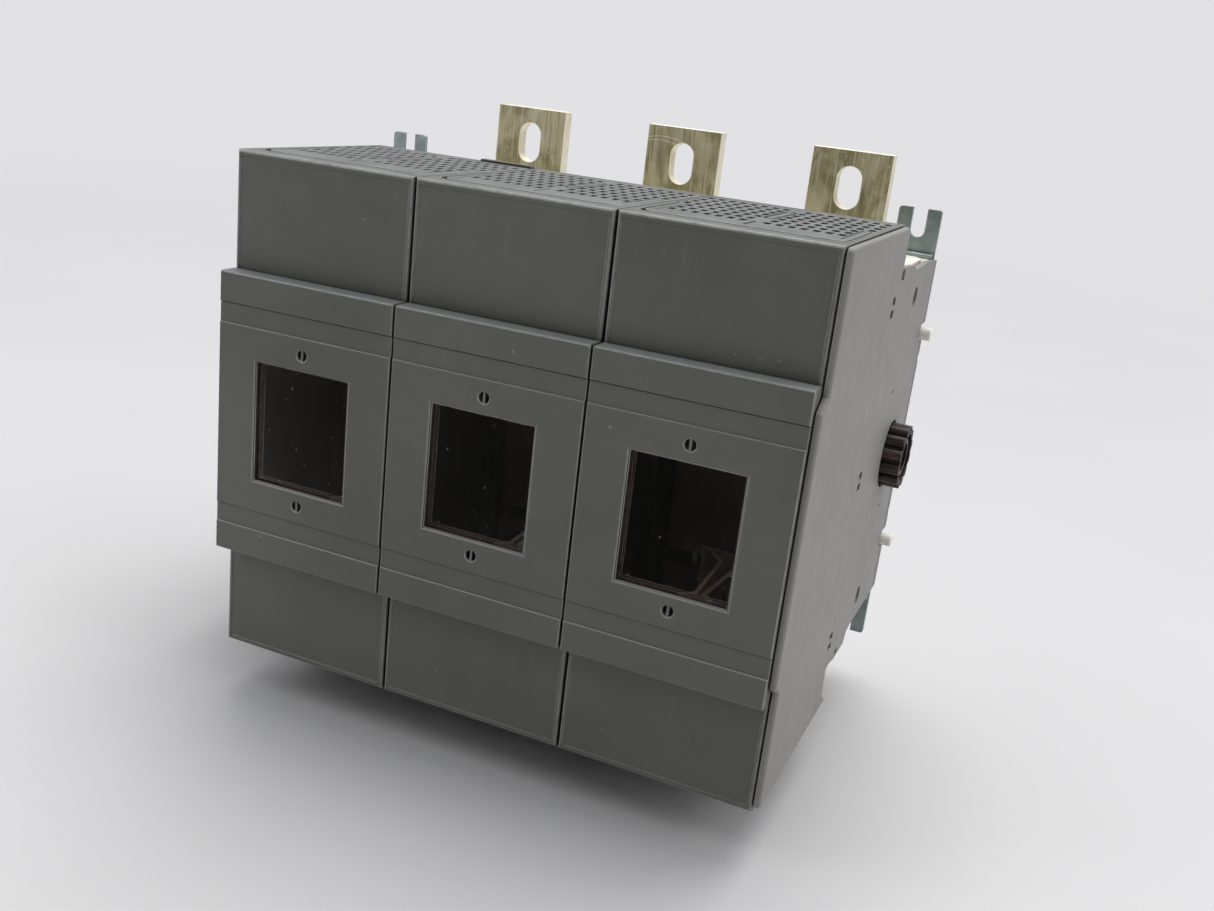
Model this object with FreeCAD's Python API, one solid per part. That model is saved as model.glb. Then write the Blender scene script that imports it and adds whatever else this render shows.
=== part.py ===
import FreeCAD, Part
import math
import os

# Three-pole switch-disconnector-fuse, front-operated, with one fuse bay and
# one hinged fuse door per pole, and a mechanism module at the left (-X) end.
# Frame: X across the poles, Y into the mounting panel (front faces -Y), Z up.
# Origin: centre of the four mounting slots, on the rear mounting plane Y = 0.
# Pole pieces are drawn about x = 0 and moved to each pole centre when saved.
# In the names, HALF_X and HALF_Z are half sizes about a centre plane.
# In the loops, side is +1 (+X) or -1 (-X) and end is +1 (top) or -1 (bottom).

Vector = FreeCAD.Vector
Placement = FreeCAD.Placement
Rotation = FreeCAD.Rotation
os.makedirs("parts", exist_ok=True)

# ----------------------------------------------------------- shared dimensions
OVERLAP = 0.5                    # how far a fused piece bites into its neighbour
FIT = 0.1                        # added to radii and faces of mating parts

POLE_PITCH = 110.0
POLE_GAP = 1.2                   # between neighbouring pole mouldings
MIDDLE_POLE_X = 32.0
POLE_X = [MIDDLE_POLE_X + step * POLE_PITCH for step in (-1, 0, 1)]
POLE_HALF_X = (POLE_PITCH - POLE_GAP) / 2

COVER_FRONT_Y = -257.0
COVER_REAR_Y = -121.0
COVER_HALF_Z = 143.2
COVER_WALL = 3.0                 # side, top and bottom walls
COVER_FRONT_WALL = 3.5
EAR_FRONT_Y = -152.4             # front of the screw ears inside the cover

DOOR_Y = -269.0                  # front plane of the fuse doors
DOOR_HALF_Z = 80.0
DOOR_SKIN = 3.0
WINDOW_HALF_X, WINDOW_HALF_Z = 30.0, 34.5

HINGE_Y, HINGE_Z = -263.5, -75.0
HINGE_PIN_R = 2.0
HINGE_LUG_X = (40.0, 46.0)       # lugs of the cover
HINGE_GAP_X = (39.6, 46.4)       # gap between the door cheeks that takes the lug
HINGE_X = (36.2, 49.8)           # outer faces of the door cheeks

BASE_HALF_Z = 114.0              # pole bases and mechanism housing
BASE_REAR_Y = -3.2
BASE_STEP_Y = -120.6
BASE_FRONT_Y = -145.0
BASE_INNER_REAR_Y = -7.2
PANEL_Y = (-149.0, BASE_FRONT_Y - 0.3)   # fuse bay panel

CASE_SCREW_X, SCREW_Z = 42.0, 104.0      # SCREW_Z also serves the bracket screws
PILOT_R = 2.5                    # screw holes in the mouldings
CLEAR_R = 2.6                    # screw holes in the parts held down

SHAFT_Y, SHAFT_Z = -57.0, 0.0    # main shaft axis, along X
SHAFT_HALF = 8.0                 # half width of the square shaft
SHAFT_HOLE_HALF = SHAFT_HALF + 0.05
BEARING_R = 20.0
TURN_DEG = 45.0                  # from the closed position, as drawn, to the open one, as saved

BLADE_Z = (20.0, 32.0)           # moving blades, closed position
KNIFE_HALF_X = 3.0               # fixed contacts that the blades grip
JAW_Z = (52.0, 76.0)             # upper fuse jaw

TERMINAL_HALF_X = 25.0
TERMINAL_Y = (-23.5, -13.5)

TIE_BOLTS = ((-64.0, 98.0), (-70.0, -90.0))   # (y, z)
TIE_HOLE_R = 4.2
PEG_Y, PEG_Z, PEG_R = -15.0, 69.0, 4.0        # connector pegs
SLOT_X, SLOT_Z = 185.0, 130.0                 # mounting slot centres


# --------------------------------------------------------------------- helpers
def box(x0, x1, y0, y1, z0, z1):
    return Part.makeBox(x1 - x0, y1 - y0, z1 - z0, Vector(x0, y0, z0))


def centred(half_x, y0, y1, half_z):
    """Box centred on x = 0 and z = 0."""
    return box(-half_x, half_x, y0, y1, -half_z, half_z)


def square_bar(x0, x1, half):
    return box(x0, x1, -half, half, -half, half)


def cyl_x(x0, x1, y, z, radius):
    return Part.makeCylinder(radius, x1 - x0, Vector(x0, y, z), Vector(1, 0, 0))


def cyl_y(y0, y1, x, z, radius):
    return Part.makeCylinder(radius, y1 - y0, Vector(x, y0, z), Vector(0, 1, 0))


def cyl_z(z0, z1, x, y, radius):
    return Part.makeCylinder(radius, z1 - z0, Vector(x, y, z0), Vector(0, 0, 1))


def polygon(points):
    corners = [Vector(*point) for point in points]
    return Part.makePolygon(corners + [corners[0]])


def prism_yz(points, x0, x1):
    return Part.Face(polygon([(x0, y, z) for y, z in points])).extrude(Vector(x1 - x0, 0, 0))


def prism_xy(points, z0, z1):
    return Part.Face(polygon([(x, y, z0) for x, y in points])).extrude(Vector(0, 0, z1 - z0))


def prism_xz(points, y0, y1):
    return Part.Face(polygon([(x, y0, z) for x, z in points])).extrude(Vector(0, y1 - y0, 0))


def span(sign, inner, outer):
    """The range inner..outer on the side given by sign, lower value first."""
    return sorted((sign * inner, sign * outer))


def fuse(shapes):
    return shapes[0].fuse(shapes[1:])


def cut_together(shape, tools):
    return shape.cut(Part.makeCompound(tools))


def cut_each(shape, tools):
    for tool in tools:
        shape = shape.cut(tool)
    return shape


def clean(shape):
    return shape.removeSplitter()


def middle(edge):
    return edge.valueAt((edge.FirstParameter + edge.LastParameter) / 2.0)


def along(edge, axis):
    """True for a straight edge parallel to the axis "x", "y" or "z"."""
    if edge.Curve.TypeId != "Part::GeomLine":
        return False
    run = edge.Vertexes[1].Point - edge.Vertexes[0].Point
    lengths = {"x": abs(run.x), "y": abs(run.y), "z": abs(run.z)}
    return lengths.pop(axis) > 1e-6 and max(lengths.values()) < 1e-6


def round_edges(shape, radius, axis=None, where=None):
    """Fillet the edges along the axis whose middle point p passes where(p)."""
    edges = [edge for edge in shape.Edges
             if (axis is None or along(edge, axis))
             and (where is None or where(middle(edge)))]
    return shape.makeFillet(radius, edges)


def mirror_z(shape):
    return shape.mirror(Vector(0, 0, 0), Vector(0, 0, 1))


def at_x(shape, x):
    moved = shape.copy()
    moved.translate(Vector(x, 0, 0))
    return moved


def to_shaft(shape, degrees=TURN_DEG):
    """Turn a shape drawn about the X axis and carry it to the shaft axis."""
    placed = shape.copy()
    placed.rotate(Vector(0, 0, 0), Vector(1, 0, 0), degrees)
    placed.translate(Vector(0, SHAFT_Y, SHAFT_Z))
    return placed


def bent_strip(points, thickness, z0, z1):
    """Strip of even thickness along an (x, y) polyline, mitred at the bends."""
    left, right = [], []
    for i, (x, y) in enumerate(points):
        directions = []
        for start, stop in ((i - 1, i), (i, i + 1)):
            if start >= 0 and stop < len(points):
                run_x = points[stop][0] - points[start][0]
                run_y = points[stop][1] - points[start][1]
                length = math.hypot(run_x, run_y)
                directions.append((run_x / length, run_y / length))
        normal_x = sum(-d[1] for d in directions)
        normal_y = sum(d[0] for d in directions)
        length = math.hypot(normal_x, normal_y)
        normal_x, normal_y = normal_x / length, normal_y / length
        mitre = normal_x * -directions[0][1] + normal_y * directions[0][0]
        offset = thickness / 2.0 / mitre
        left.append((x + normal_x * offset, y + normal_y * offset))
        right.append((x - normal_x * offset, y - normal_y * offset))
    return prism_xy(left + right[::-1], z0, z1)


def rear_pockets(x_places, half_x):
    """Tools for the grid of shallow pockets in a rear wall."""
    depth, half_z, pitch_z = 1.4, 15.5, 38.0
    return [box(x - half_x, x + half_x, BASE_REAR_Y - depth, 0.0,
                row * pitch_z - half_z, row * pitch_z + half_z)
            for x in x_places for row in (-2, -1, 0, 1, 2)]


def save(name, shapes):
    """Write one STEP file; each shape must be one valid solid."""
    for shape in shapes:
        if len(shape.Solids) != 1:
            raise RuntimeError("%s: a piece has %d solids" % (name, len(shape.Solids)))
        if not shape.isValid():
            raise RuntimeError("%s: invalid solid" % name)
    solids = [shape.Solids[0] for shape in shapes]
    result = solids[0] if len(solids) == 1 else Part.makeCompound(solids)
    result.exportStep("parts/%s.step" % name)


# ---------------------------------------------------------------- vent grilles
GRILLE_T = 2.9
GRILLE_FRONT_Y, GRILLE_STEP_Y, GRILLE_REAR_Y = -240.2, -182.5, -126.6
GRILLE_FRONT_HALF_X, GRILLE_REAR_HALF_X = 50.0, 52.6
VENT_PITCH_X, VENT_PITCH_Y = 6.12, 13.0
VENT_X, VENT_Y = 4.1, 8.4        # size of a vent hole
VENT_FIRST_Y = -216.2
VENT_COLUMNS = (7, 7, 7, 8, 8, 8, 8)     # vents to each side, rows from the front


def grille_outline(z0, z1, gap, front_half_x, front_y, radius):
    """Plate with a rounded front part and a wider rear part, grown by the gap."""
    front = box(-front_half_x, front_half_x, front_y, GRILLE_STEP_Y + 1.0, z0, z1)
    front = round_edges(front, radius, "z", lambda p: p.y < front_y + 0.1)
    rear_half_x = GRILLE_REAR_HALF_X + gap
    rear = box(-rear_half_x, rear_half_x, GRILLE_STEP_Y - gap, GRILLE_REAR_Y + gap, z0, z1)
    return clean(front.fuse(rear))


def oval(radius, y0, y1, end_y0, end_y1, z0, z1):
    """Straight bar y0..y1 with round ends centred on end_y0 and end_y1."""
    return box(-radius, radius, y0, y1, z0, z1).fuse(
        [cyl_z(z0, z1, 0, end_y0, radius), cyl_z(z0, z1, 0, end_y1, radius)])


def make_top_grille():
    top = COVER_HALF_Z
    under = top - GRILLE_T
    plate = grille_outline(under, top, 0.0, GRILLE_FRONT_HALF_X, GRILLE_FRONT_Y, 8.0)
    plate = round_edges(plate, 0.5, where=lambda p: p.z > top - 0.01)
    tools = []
    for row, columns in enumerate(VENT_COLUMNS):
        y = VENT_FIRST_Y + row * VENT_PITCH_Y
        for column in range(1, columns + 1):
            for side in (1, -1):
                x = side * column * VENT_PITCH_X
                tools.append(box(x - VENT_X / 2, x + VENT_X / 2, y - VENT_Y / 2, y + VENT_Y / 2,
                                 under - 1, top + 1))
    # narrow slot at the front, on the centre line
    tools.append(box(-0.9, 0.9, -235.0, -214.5, under - 1, top + 1))
    # oval groove round a central bar
    outer = oval(3.4, -191.5, -149.5, -191.5, -149.5, top - 2.0, top + 1)
    inner = oval(1.7, -190.0, -151.0, -190.0, -151.0, top - 2.5, top + 2)
    tools.append(outer.cut(inner))
    # L-shaped grooves along the sides of the front part
    for side in (1, -1):
        tools.append(box(*span(side, 45.4, 46.6), -232.0, -183.0, top - 1.2, top + 1))
        tools.append(box(*span(side, 46.0, 51.0), -184.2, -183.0, top - 1.2, top + 1))
    plate = cut_together(plate, tools)
    legs = [box(*span(side, 40.0, 49.0), y, y + 2.4, under - 12.0, under + 0.2)
            for side in (1, -1) for y in (-237.0, -133.4)]
    return clean(fuse([plate] + legs))


# ---------------------------------------------------------- front cover, door
def make_front_cover():
    inner_x = POLE_HALF_X - COVER_WALL
    inner_z = COVER_HALF_Z - COVER_WALL
    inner_front_y = COVER_FRONT_Y + COVER_FRONT_WALL
    base_opening_half_z = BASE_HALF_Z + 0.4
    shell = centred(POLE_HALF_X, COVER_FRONT_Y, COVER_REAR_Y, COVER_HALF_Z)
    shell = round_edges(shell, 1.9, where=lambda p: p.y < COVER_FRONT_Y + 0.01)
    # recessed front panel, with a border all round
    recess = centred(52.0, COVER_FRONT_Y - 1.0, COVER_FRONT_Y + 0.4, 139.9)
    opening = grille_outline(inner_z - 1.0, COVER_HALF_Z + 1.0, 0.6, 51.2, -245.0, 9.0)
    shell = cut_each(shell, [
        centred(inner_x, inner_front_y, COVER_REAR_Y - 3.0, inner_z),
        centred(inner_x, COVER_REAR_Y - 4.0, COVER_REAR_Y + 1.0, base_opening_half_z),
        centred(47.0, COVER_FRONT_Y - 1.0, inner_front_y + 1.0, 76.0),
        round_edges(recess, 1.5, "y"),
        opening,
        mirror_z(opening)])

    bite_x = inner_x + OVERLAP
    step_front_y = -163.0
    added = []
    for side in (1, -1):
        x0, x1 = span(side, *HINGE_LUG_X)
        lug = box(x0, x1, HINGE_Y, inner_front_y, HINGE_Z - 2.9, HINGE_Z + 2.9)
        lug = lug.fuse(cyl_x(x0, x1, HINGE_Y, HINGE_Z, 3.2))
        added.append(lug.cut(cyl_x(x0 - 1, x1 + 1, HINGE_Y, HINGE_Z, HINGE_PIN_R + 0.02)))
        # screw ears
        for end in (1, -1):
            z = end * SCREW_Z
            ear = box(*span(side, 36.0, bite_x), EAR_FRONT_Y, PANEL_Y[0] - 0.2, z - 6.0, z + 6.0)
            added.append(ear.cut(cyl_y(-160, -140, side * CASE_SCREW_X, z, CLEAR_R)))
        # inward step that narrows the rear end of the bay
        added.append(box(*span(side, 44.2, 46.2), step_front_y, -150.3, -95.0, 95.0))
        added.append(box(*span(side, 44.2, bite_x), step_front_y, -161.0, -95.0, 95.0))
        # ribs along the bay side wall
        for end in (1, -1):
            added.append(box(*span(side, inner_x - 2.5, bite_x),
                             inner_front_y - OVERLAP, -162.0, *span(end, 78.0, 81.0)))
    return clean(fuse([shell] + added))


def window_chamfer(grow, depth):
    """Tapered tool: the window opening, larger by grow at its front end."""
    loops = []
    for y, extra in ((DOOR_Y - 0.01, grow), (DOOR_Y - 0.01 + depth, 0.0)):
        x, z = WINDOW_HALF_X + extra, WINDOW_HALF_Z + extra
        loops.append(polygon([(-x, y, -z), (x, y, -z), (x, y, z), (-x, y, z)]))
    return Part.makeLoft(loops, True, True)


def make_door():
    rear_y = COVER_FRONT_Y - 0.6
    behind_skin = DOOR_Y + DOOR_SKIN
    bite_y = behind_skin - OVERLAP
    rim = 2.5
    bevel = 0.5
    strip_depth = 1.0
    profile = [(DOOR_Y, -DOOR_HALF_Z), (-259.4, -DOOR_HALF_Z), (rear_y, -75.0),
               (rear_y, DOOR_HALF_Z), (DOOR_Y, DOOR_HALF_Z)]       # (y, z)
    door = prism_yz(profile, -POLE_HALF_X, POLE_HALF_X)
    door = round_edges(door, 1.2, "x", lambda p: p.y < DOOR_Y + 0.1)
    door = round_edges(door, 0.9, "z", lambda p: p.y < DOOR_Y + 0.1)
    tools = [centred(POLE_HALF_X - rim, behind_skin, -250.0, DOOR_HALF_Z - rim),
             centred(WINDOW_HALF_X, -275.0, -260.0, WINDOW_HALF_Z),
             window_chamfer(grow=bevel, depth=bevel)]
    for end in (1, -1):
        # shallow strip across the face, with a deeper groove along its upper edge
        z0, z1 = span(end, 52.0, 63.5)
        tools.append(box(-56.0, 56.0, DOOR_Y - 1.0, DOOR_Y + strip_depth, z0, z1))
        tools.append(box(-56.0, 56.0, DOOR_Y, DOOR_Y + strip_depth + 0.8, z1 - 0.6, z1))
        # test-probe hole, left with a thin upright web across it
        probe_z, probe_r = end * 42.6, 3.0
        hole = cyl_y(-275.0, -260.0, 0.0, probe_z, probe_r)
        tools.append(hole.cut(centred(0.6, -276.0, -259.0, 60.0)))
        tools.append(Part.makeCone(probe_r + bevel, probe_r, bevel,
                                   Vector(0, DOOR_Y - 0.01, probe_z), Vector(0, 1, 0)))
    door = cut_each(door, tools)

    cheek_r = 3.6
    added = []
    for side in (1, -1):
        for inner, outer in zip((HINGE_X[0], HINGE_GAP_X[1]), (HINGE_GAP_X[0], HINGE_X[1])):
            x0, x1 = span(side, inner, outer)
            added.append(cyl_x(x0, x1, HINGE_Y, HINGE_Z, cheek_r).fuse(
                box(x0, x1, bite_y, HINGE_Y, -DOOR_HALF_Z + 2.0, HINGE_Z + cheek_r)))
    # latch tongue at the top, with a nose on its upper face
    tongue = box(-8.0, 8.0, bite_y, -250.0, 71.0, 73.4)
    nose = [(-252.0, 73.3), (-250.0, 73.3), (-251.0, 75.0), (-255.0, 73.3)]   # (y, z)
    added.append(tongue.fuse(prism_yz(nose, -8.0, 8.0)))
    # stiffening ribs above and below the window
    for z in (46.5, -46.5):
        for side in (-1, 1):
            added.append(box(*span(side, 6.0, 52.5), bite_y, -260.0, z - 0.9, z + 0.9))
    door = fuse([door] + added)
    for side in (1, -1):
        door = door.cut(box(*span(side, *HINGE_GAP_X), -267.2, -250.0,
                            -DOOR_HALF_Z - 1.0, HINGE_Z + 3.8))
        door = door.cut(cyl_x(*span(side, HINGE_X[0] + 0.1, HINGE_X[1] - 0.1),
                              HINGE_Y, HINGE_Z, HINGE_PIN_R + 0.06))
    return clean(door)


def make_window():
    half_x, half_z = WINDOW_HALF_X - 0.3, WINDOW_HALF_Z - 0.3
    wall = 1.4
    front_y = DOOR_Y + 1.1
    pane = centred(half_x, front_y, -262.0, half_z)
    pane = round_edges(pane, 0.6, where=lambda p: p.y < front_y + 0.1)
    pane = pane.cut(centred(half_x - wall, front_y + 2.0, -250.0, half_z - wall))
    # flange behind the door skin
    flange_y = DOOR_Y + DOOR_SKIN + 0.2
    flange = centred(half_x + 2.6, flange_y, flange_y + 1.5, half_z + 2.4)
    flange = flange.cut(centred(half_x - OVERLAP, -270.0, -250.0, half_z - OVERLAP))
    return clean(pane.fuse(flange))


def make_hinge_pins(pole_x):
    pins = []
    for side in (1, -1):
        x0, x1 = span(side, HINGE_X[0] + 0.2, HINGE_X[1] - 0.2)
        pin = cyl_x(pole_x + x0, pole_x + x1, HINGE_Y, HINGE_Z, HINGE_PIN_R)
        centre_x = pole_x + (x0 + x1) / 2
        # the two end rims, not the seam
        pins.append(round_edges(pin, 0.3, where=lambda p: abs(p.x - centre_x) > 1.0))
    return pins


# ------------------------------------------------------------ base, bay panel
def make_base():
    inner_z = 110.0
    bite_z = inner_z + OVERLAP
    base = centred(POLE_HALF_X, BASE_STEP_Y, BASE_REAR_Y, BASE_HALF_Z)
    base = round_edges(base, 1.5, "x", lambda p: p.y > BASE_REAR_Y - 1)
    base = base.fuse(centred(51.0, BASE_FRONT_Y, BASE_STEP_Y + OVERLAP, BASE_HALF_Z))
    base = base.cut(centred(50.4, -117.0, BASE_INNER_REAR_Y, inner_z))
    base = base.cut(centred(47.5, BASE_FRONT_Y - 1, -116.0, inner_z))
    added = []
    for side in (1, -1):
        # inner wall, open at the front, with a bearing for the rotor hub
        x0, x1 = span(side, 25.5, 28.5)
        wall = box(x0, x1, BASE_FRONT_Y, -7.0, -bite_z, bite_z)
        wall = wall.cut(box(x0 - 1, x1 + 1, BASE_FRONT_Y - 1, SHAFT_Y, -BEARING_R, BEARING_R))
        added.append(wall.cut(cyl_x(x0 - 1, x1 + 1, SHAFT_Y, SHAFT_Z, BEARING_R)))
        # screw posts in the front and rear corners
        for end in (1, -1):
            added.append(box(*span(side, 36.5, 47.8), BASE_FRONT_Y, -128.0,
                             *span(end, 98.5, bite_z)))
            added.append(box(*span(side, 37.0, 50.6), -25.0, -7.0, *span(end, 100.0, bite_z)))
    # ledge with a V-notch along the right part of the top and bottom faces
    ledge = [(26.8, -104.0), (53.6, -104.0), (53.6, -86.0), (50.2, -80.5), (53.6, -75.0),
             (53.6, -34.0), (49.0, -28.0), (26.8, -28.0)]          # (x, y)
    for end in (1, -1):
        added.append(prism_xy(ledge, *span(end, BASE_HALF_Z - OVERLAP, BASE_HALF_Z + 2.6)))
    base = fuse([base] + added)

    # slots for the terminal bars, shaft openings in the side walls, bolt and peg holes
    tools = [box(-TERMINAL_HALF_X - 0.2, TERMINAL_HALF_X + 0.2,
                 TERMINAL_Y[0] - 0.2, TERMINAL_Y[1] + 0.2, *span(end, 105, 120))
             for end in (1, -1)]
    tools += [cyl_x(*span(side, 50.0, 60.0), SHAFT_Y, SHAFT_Z, 21.0) for side in (1, -1)]
    tools += [cyl_x(-60, 60, y, z, TIE_HOLE_R) for y, z in TIE_BOLTS]
    for end in (1, -1):
        tools.append(cyl_x(45, 60, PEG_Y, end * PEG_Z, PEG_R + FIT))
        for side in (1, -1):
            tools.append(cyl_y(-150, -133, side * CASE_SCREW_X, end * SCREW_Z, PILOT_R))
            tools.append(cyl_y(-22.0, 0.0, side * 43.0, end * SCREW_Z, PILOT_R))
    tools += rear_pockets((-33.0, 0.0, 33.0), 13.5)
    return clean(cut_each(base, tools))


def make_bay_panel():
    panel = centred(51.0, *PANEL_Y, BASE_HALF_Z - 0.2)
    tools = []
    for end in (1, -1):
        # slot for the jaw stem, then a wide slot and a screw hole on each side
        tools.append(box(-3.2, 3.2, -160, -140, *span(end, 54.8, 67.2)))
        for side in (1, -1):
            tools.append(box(*span(side, 21.6, 44.0), -160, -140, *span(end, 57.8, 66.2)))
            tools.append(cyl_y(-160, -140, side * CASE_SCREW_X, end * SCREW_Z, CLEAR_R))
    return clean(cut_together(panel, tools))


# --------------------------------------------------------------- current path
def make_jaw():
    """Upper fuse jaw: two sprung leaves, their seat and the stem to the fixed contact."""
    leaf_line = [(9.0, -223.5), (2.4, -216.5), (5.2, -166.4), (18.0, -150.5)]   # (x, y)
    right = bent_strip(leaf_line, 2.4, *JAW_Z)
    left = right.mirror(Vector(0, 0, 0), Vector(1, 0, 0))
    seat = box(-21.0, 21.0, -152.2, PANEL_Y[0] - 0.3, *JAW_Z)
    stem = box(-KNIFE_HALF_X, KNIFE_HALF_X, -150.0, -99.0, 55.0, 67.0)
    knife = box(-KNIFE_HALF_X, KNIFE_HALF_X, -99.5, -84.0, BLADE_Z[0], 67.0)
    return clean(fuse([seat, right, left, stem, knife]))


def make_jaw_spring():
    """Flat clip over the two leaves, closed at its upper end."""
    half_x, thickness = 7.3, 2.0
    z0, z1 = JAW_Z[0] + 3.5, JAW_Z[1] + 2.2
    inner_x = half_x - thickness
    clip = box(-half_x, half_x, -196.0, -190.0, z0, z1)
    clip = round_edges(clip, 2.0, "y", lambda p: p.z > z1 - 0.1)
    return clip.cut(box(-inner_x, inner_x, -197.0, -189.0, z0 - 1.0, z1 - thickness))


def make_terminal():
    """Upper terminal bar with an upright slot, and the fixed contact at its inner end."""
    z0, z1 = 56.0, 173.3
    slot_half, slot_length, slot_z = 8.0, 26.3, 150.7
    reach = slot_length / 2 - slot_half      # slot centre to the centre of a round end
    bar = box(-TERMINAL_HALF_X, TERMINAL_HALF_X, *TERMINAL_Y, z0, z1)
    # all edges but those of the lower face
    bar = round_edges(bar, 0.5, where=lambda p: p.z > z0 + 1.0)
    y0, y1 = TERMINAL_Y[0] - 1, TERMINAL_Y[1] + 1
    slot = box(-slot_half, slot_half, y0, y1, slot_z - reach, slot_z + reach)
    slot = slot.fuse([cyl_y(y0, y1, 0, slot_z - reach, slot_half),
                      cyl_y(y0, y1, 0, slot_z + reach, slot_half)])
    knife = box(-KNIFE_HALF_X, KNIFE_HALF_X, -32.0, TERMINAL_Y[1], BLADE_Z[0], 58.0)
    return clean(bar.cut(slot).fuse(knife))


RIVET_Y = 18.0                   # blade rivets, from the shaft axis
RIVET_Z = (BLADE_Z[0] + BLADE_Z[1]) / 2
RIVET_R = 2.5


def make_rotor():
    core = cyl_x(-30.0, 30.0, 0, 0, 17.0)
    # (inner x, outer x, radius): main discs, then bearing hubs
    discs = [cyl_x(*span(side, inner, outer), 0, 0, radius)
             for inner, outer, radius in ((6.4, 25.0, 36.0), (24.0, 30.0, BEARING_R - 0.07))
             for side in (1, -1)]
    rotor = fuse([core] + discs)
    rotor = rotor.cut(square_bar(-40, 40, SHAFT_HOLE_HALF))
    tools = []
    for y_sign in (1, -1):
        for end in (1, -1):
            tools.append(cyl_x(-10.0, 10.0, y_sign * RIVET_Y, end * RIVET_Z, RIVET_R + 0.05))
        # pockets in the outer faces
        for side in (1, -1):
            tools.append(cyl_x(*span(side, 18.0, 26.0), y_sign * 26.0, 0, 5.0))
    return to_shaft(clean(cut_each(rotor, tools)))


def make_blades():
    half_y, thickness = 34.0, 3.0
    inner = KNIFE_HALF_X + FIT
    outer = inner + thickness
    blades = []
    for end in (1, -1):
        for side in (1, -1):
            blade = box(*span(side, inner, outer), -half_y, half_y, *span(end, *BLADE_Z))
            blade = round_edges(blade, 4.0, "x")
            for y_sign in (1, -1):
                blade = blade.fuse(cyl_x(*span(side, outer - OVERLAP, 9.6),
                                         y_sign * RIVET_Y, end * RIVET_Z, RIVET_R))
            blades.append(to_shaft(clean(blade)))
    return blades


def make_arc_plates():
    """Four stacks of three notched plates, fanned round the shaft."""
    stack_degrees, step_degrees = (160, 66, -20, -114), 7
    plate = box(-25.2, 25.2, 37.5, 49.4, -0.75, 0.75).cut(box(-7.8, 7.8, 37.0, 47.4, -2, 2))
    return [to_shaft(plate, start + step * step_degrees)
            for start in stack_degrees for step in range(3)]


# ------------------------------------------------------ main shaft, couplings
def make_main_shaft():
    journal = cyl_x(-197.0, -191.5, 0, 0, 7.94)
    shaft = square_bar(-192.0, 205.0, SHAFT_HALF).fuse(journal)
    return to_shaft(clean(shaft))


def make_shaft_coupling():
    """Splined coupling on the right end of the shaft, with rounded lobes."""
    lobes, lobe_r, lobe_circle_r = 12, 3.9, 15.6
    end_x = 211.5
    pieces = [cyl_x(188.0, end_x, 0, 0, 16.4)]
    for k in range(lobes):
        angle = 2 * math.pi * k / lobes
        pieces.append(cyl_x(190.0, end_x, lobe_circle_r * math.cos(angle),
                            lobe_circle_r * math.sin(angle), lobe_r))
    coupling = clean(fuse(pieces))
    # square hole, round recess in the right end, ring groove round the recess
    coupling = cut_each(coupling, [
        square_bar(180, 205.4, SHAFT_HOLE_HALF),
        cyl_x(205.2, 215.0, 0, 0, 9.0),
        cyl_x(206.5, 215.0, 0, 0, 14.6).cut(cyl_x(206.0, 210.4, 0, 0, 11.2))])
    return to_shaft(clean(coupling))


# ------------------------------------------------------------- right end plate
PLATE_X = (197.1, 200.4)
PLATE_PROFILE = [                # (y, z)
    (-257.0, 142.6), (-257.0, 75.0), (-265.5, 69.0), (-265.5, -69.0), (-257.0, -75.0),
    (-257.0, -140.8), (-122.5, -139.7), (-134.0, -131.0), (-136.5, -113.0), (-128.0, -112.3),
    (-118.0, -114.5), (-92.0, -114.0), (-88.0, -107.8), (-79.0, -106.2), (-5.0, -105.5),
    (-3.4, 113.6), (-7.0, 114.0), (-39.0, 115.7), (-76.0, 115.0), (-86.0, 118.5),
    (-121.5, 120.7), (-121.5, 142.0)]
PLATE_WINDOWS = (                # (y, z) of equal rectangular holes near the middle
    (-133.4, 104.3), (-134.0, 97.3), (-139.0, 7.3), (-139.0, 0.7), (-139.0, -90.7),
    (-139.0, -97.3))
PLATE_SMALL_HOLES = (            # (y, z, half y, half z)
    (-80.4, 43.7, 1.6, 1.0), (-52.0, -34.9, 1.6, 1.0),
    (-118.3, 116.4, 4.0, 3.0), (-114.5, -110.4, 3.0, 2.0))
PLATE_STUDS = (                  # (y, z) of round studs on the inner face
    (-230.0, 110.0), (-230.0, -110.0), (-135.0, 60.0), (-135.0, -60.0),
    (-40.0, 92.0), (-40.0, -92.0))


def make_end_plate():
    plate = prism_yz(PLATE_PROFILE, *PLATE_X)
    plate = round_edges(plate, 3.0, "x", lambda p: p.y < -256.9 and abs(p.z) > 140.0)
    plate = round_edges(plate, 1.8, where=lambda p: p.x > PLATE_X[1] - 0.01 and p.y < -250.0)
    through = (190, 205)
    peg_slot_r = 5.6
    tools = [cyl_x(*through, SHAFT_Y, SHAFT_Z, 21.0)]
    tools += [box(*through, y - 3.2, y + 4.6, z - 2.8, z + 1.8) for y, z in PLATE_WINDOWS]
    tools += [cyl_x(*through, y, z, 6.0) for y, z in TIE_BOLTS]
    tools += [box(*through, y - half_y, y + half_y, z - half_z, z + half_z)
              for y, z, half_y, half_z in PLATE_SMALL_HOLES]
    # open slots from the rear edge: round-ended at the pegs, and a small square one beside each
    for end in (1, -1):
        peg_z, notch_z = end * PEG_Z, end * 52.0
        tools.append(box(*through, PEG_Y, 2.0, peg_z - peg_slot_r, peg_z + peg_slot_r).fuse(
            cyl_x(*through, PEG_Y, peg_z, peg_slot_r)))
        tools.append(box(*through, -6.0, 2.0, notch_z - 2.2, notch_z + 2.2))
    plate = cut_each(plate, tools)
    for y, z in PLATE_STUDS:
        plate = plate.fuse(cyl_x(PLATE_X[0] - 0.5, PLATE_X[0] + 0.3, y, z, 4.0))
    return clean(plate)


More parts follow.
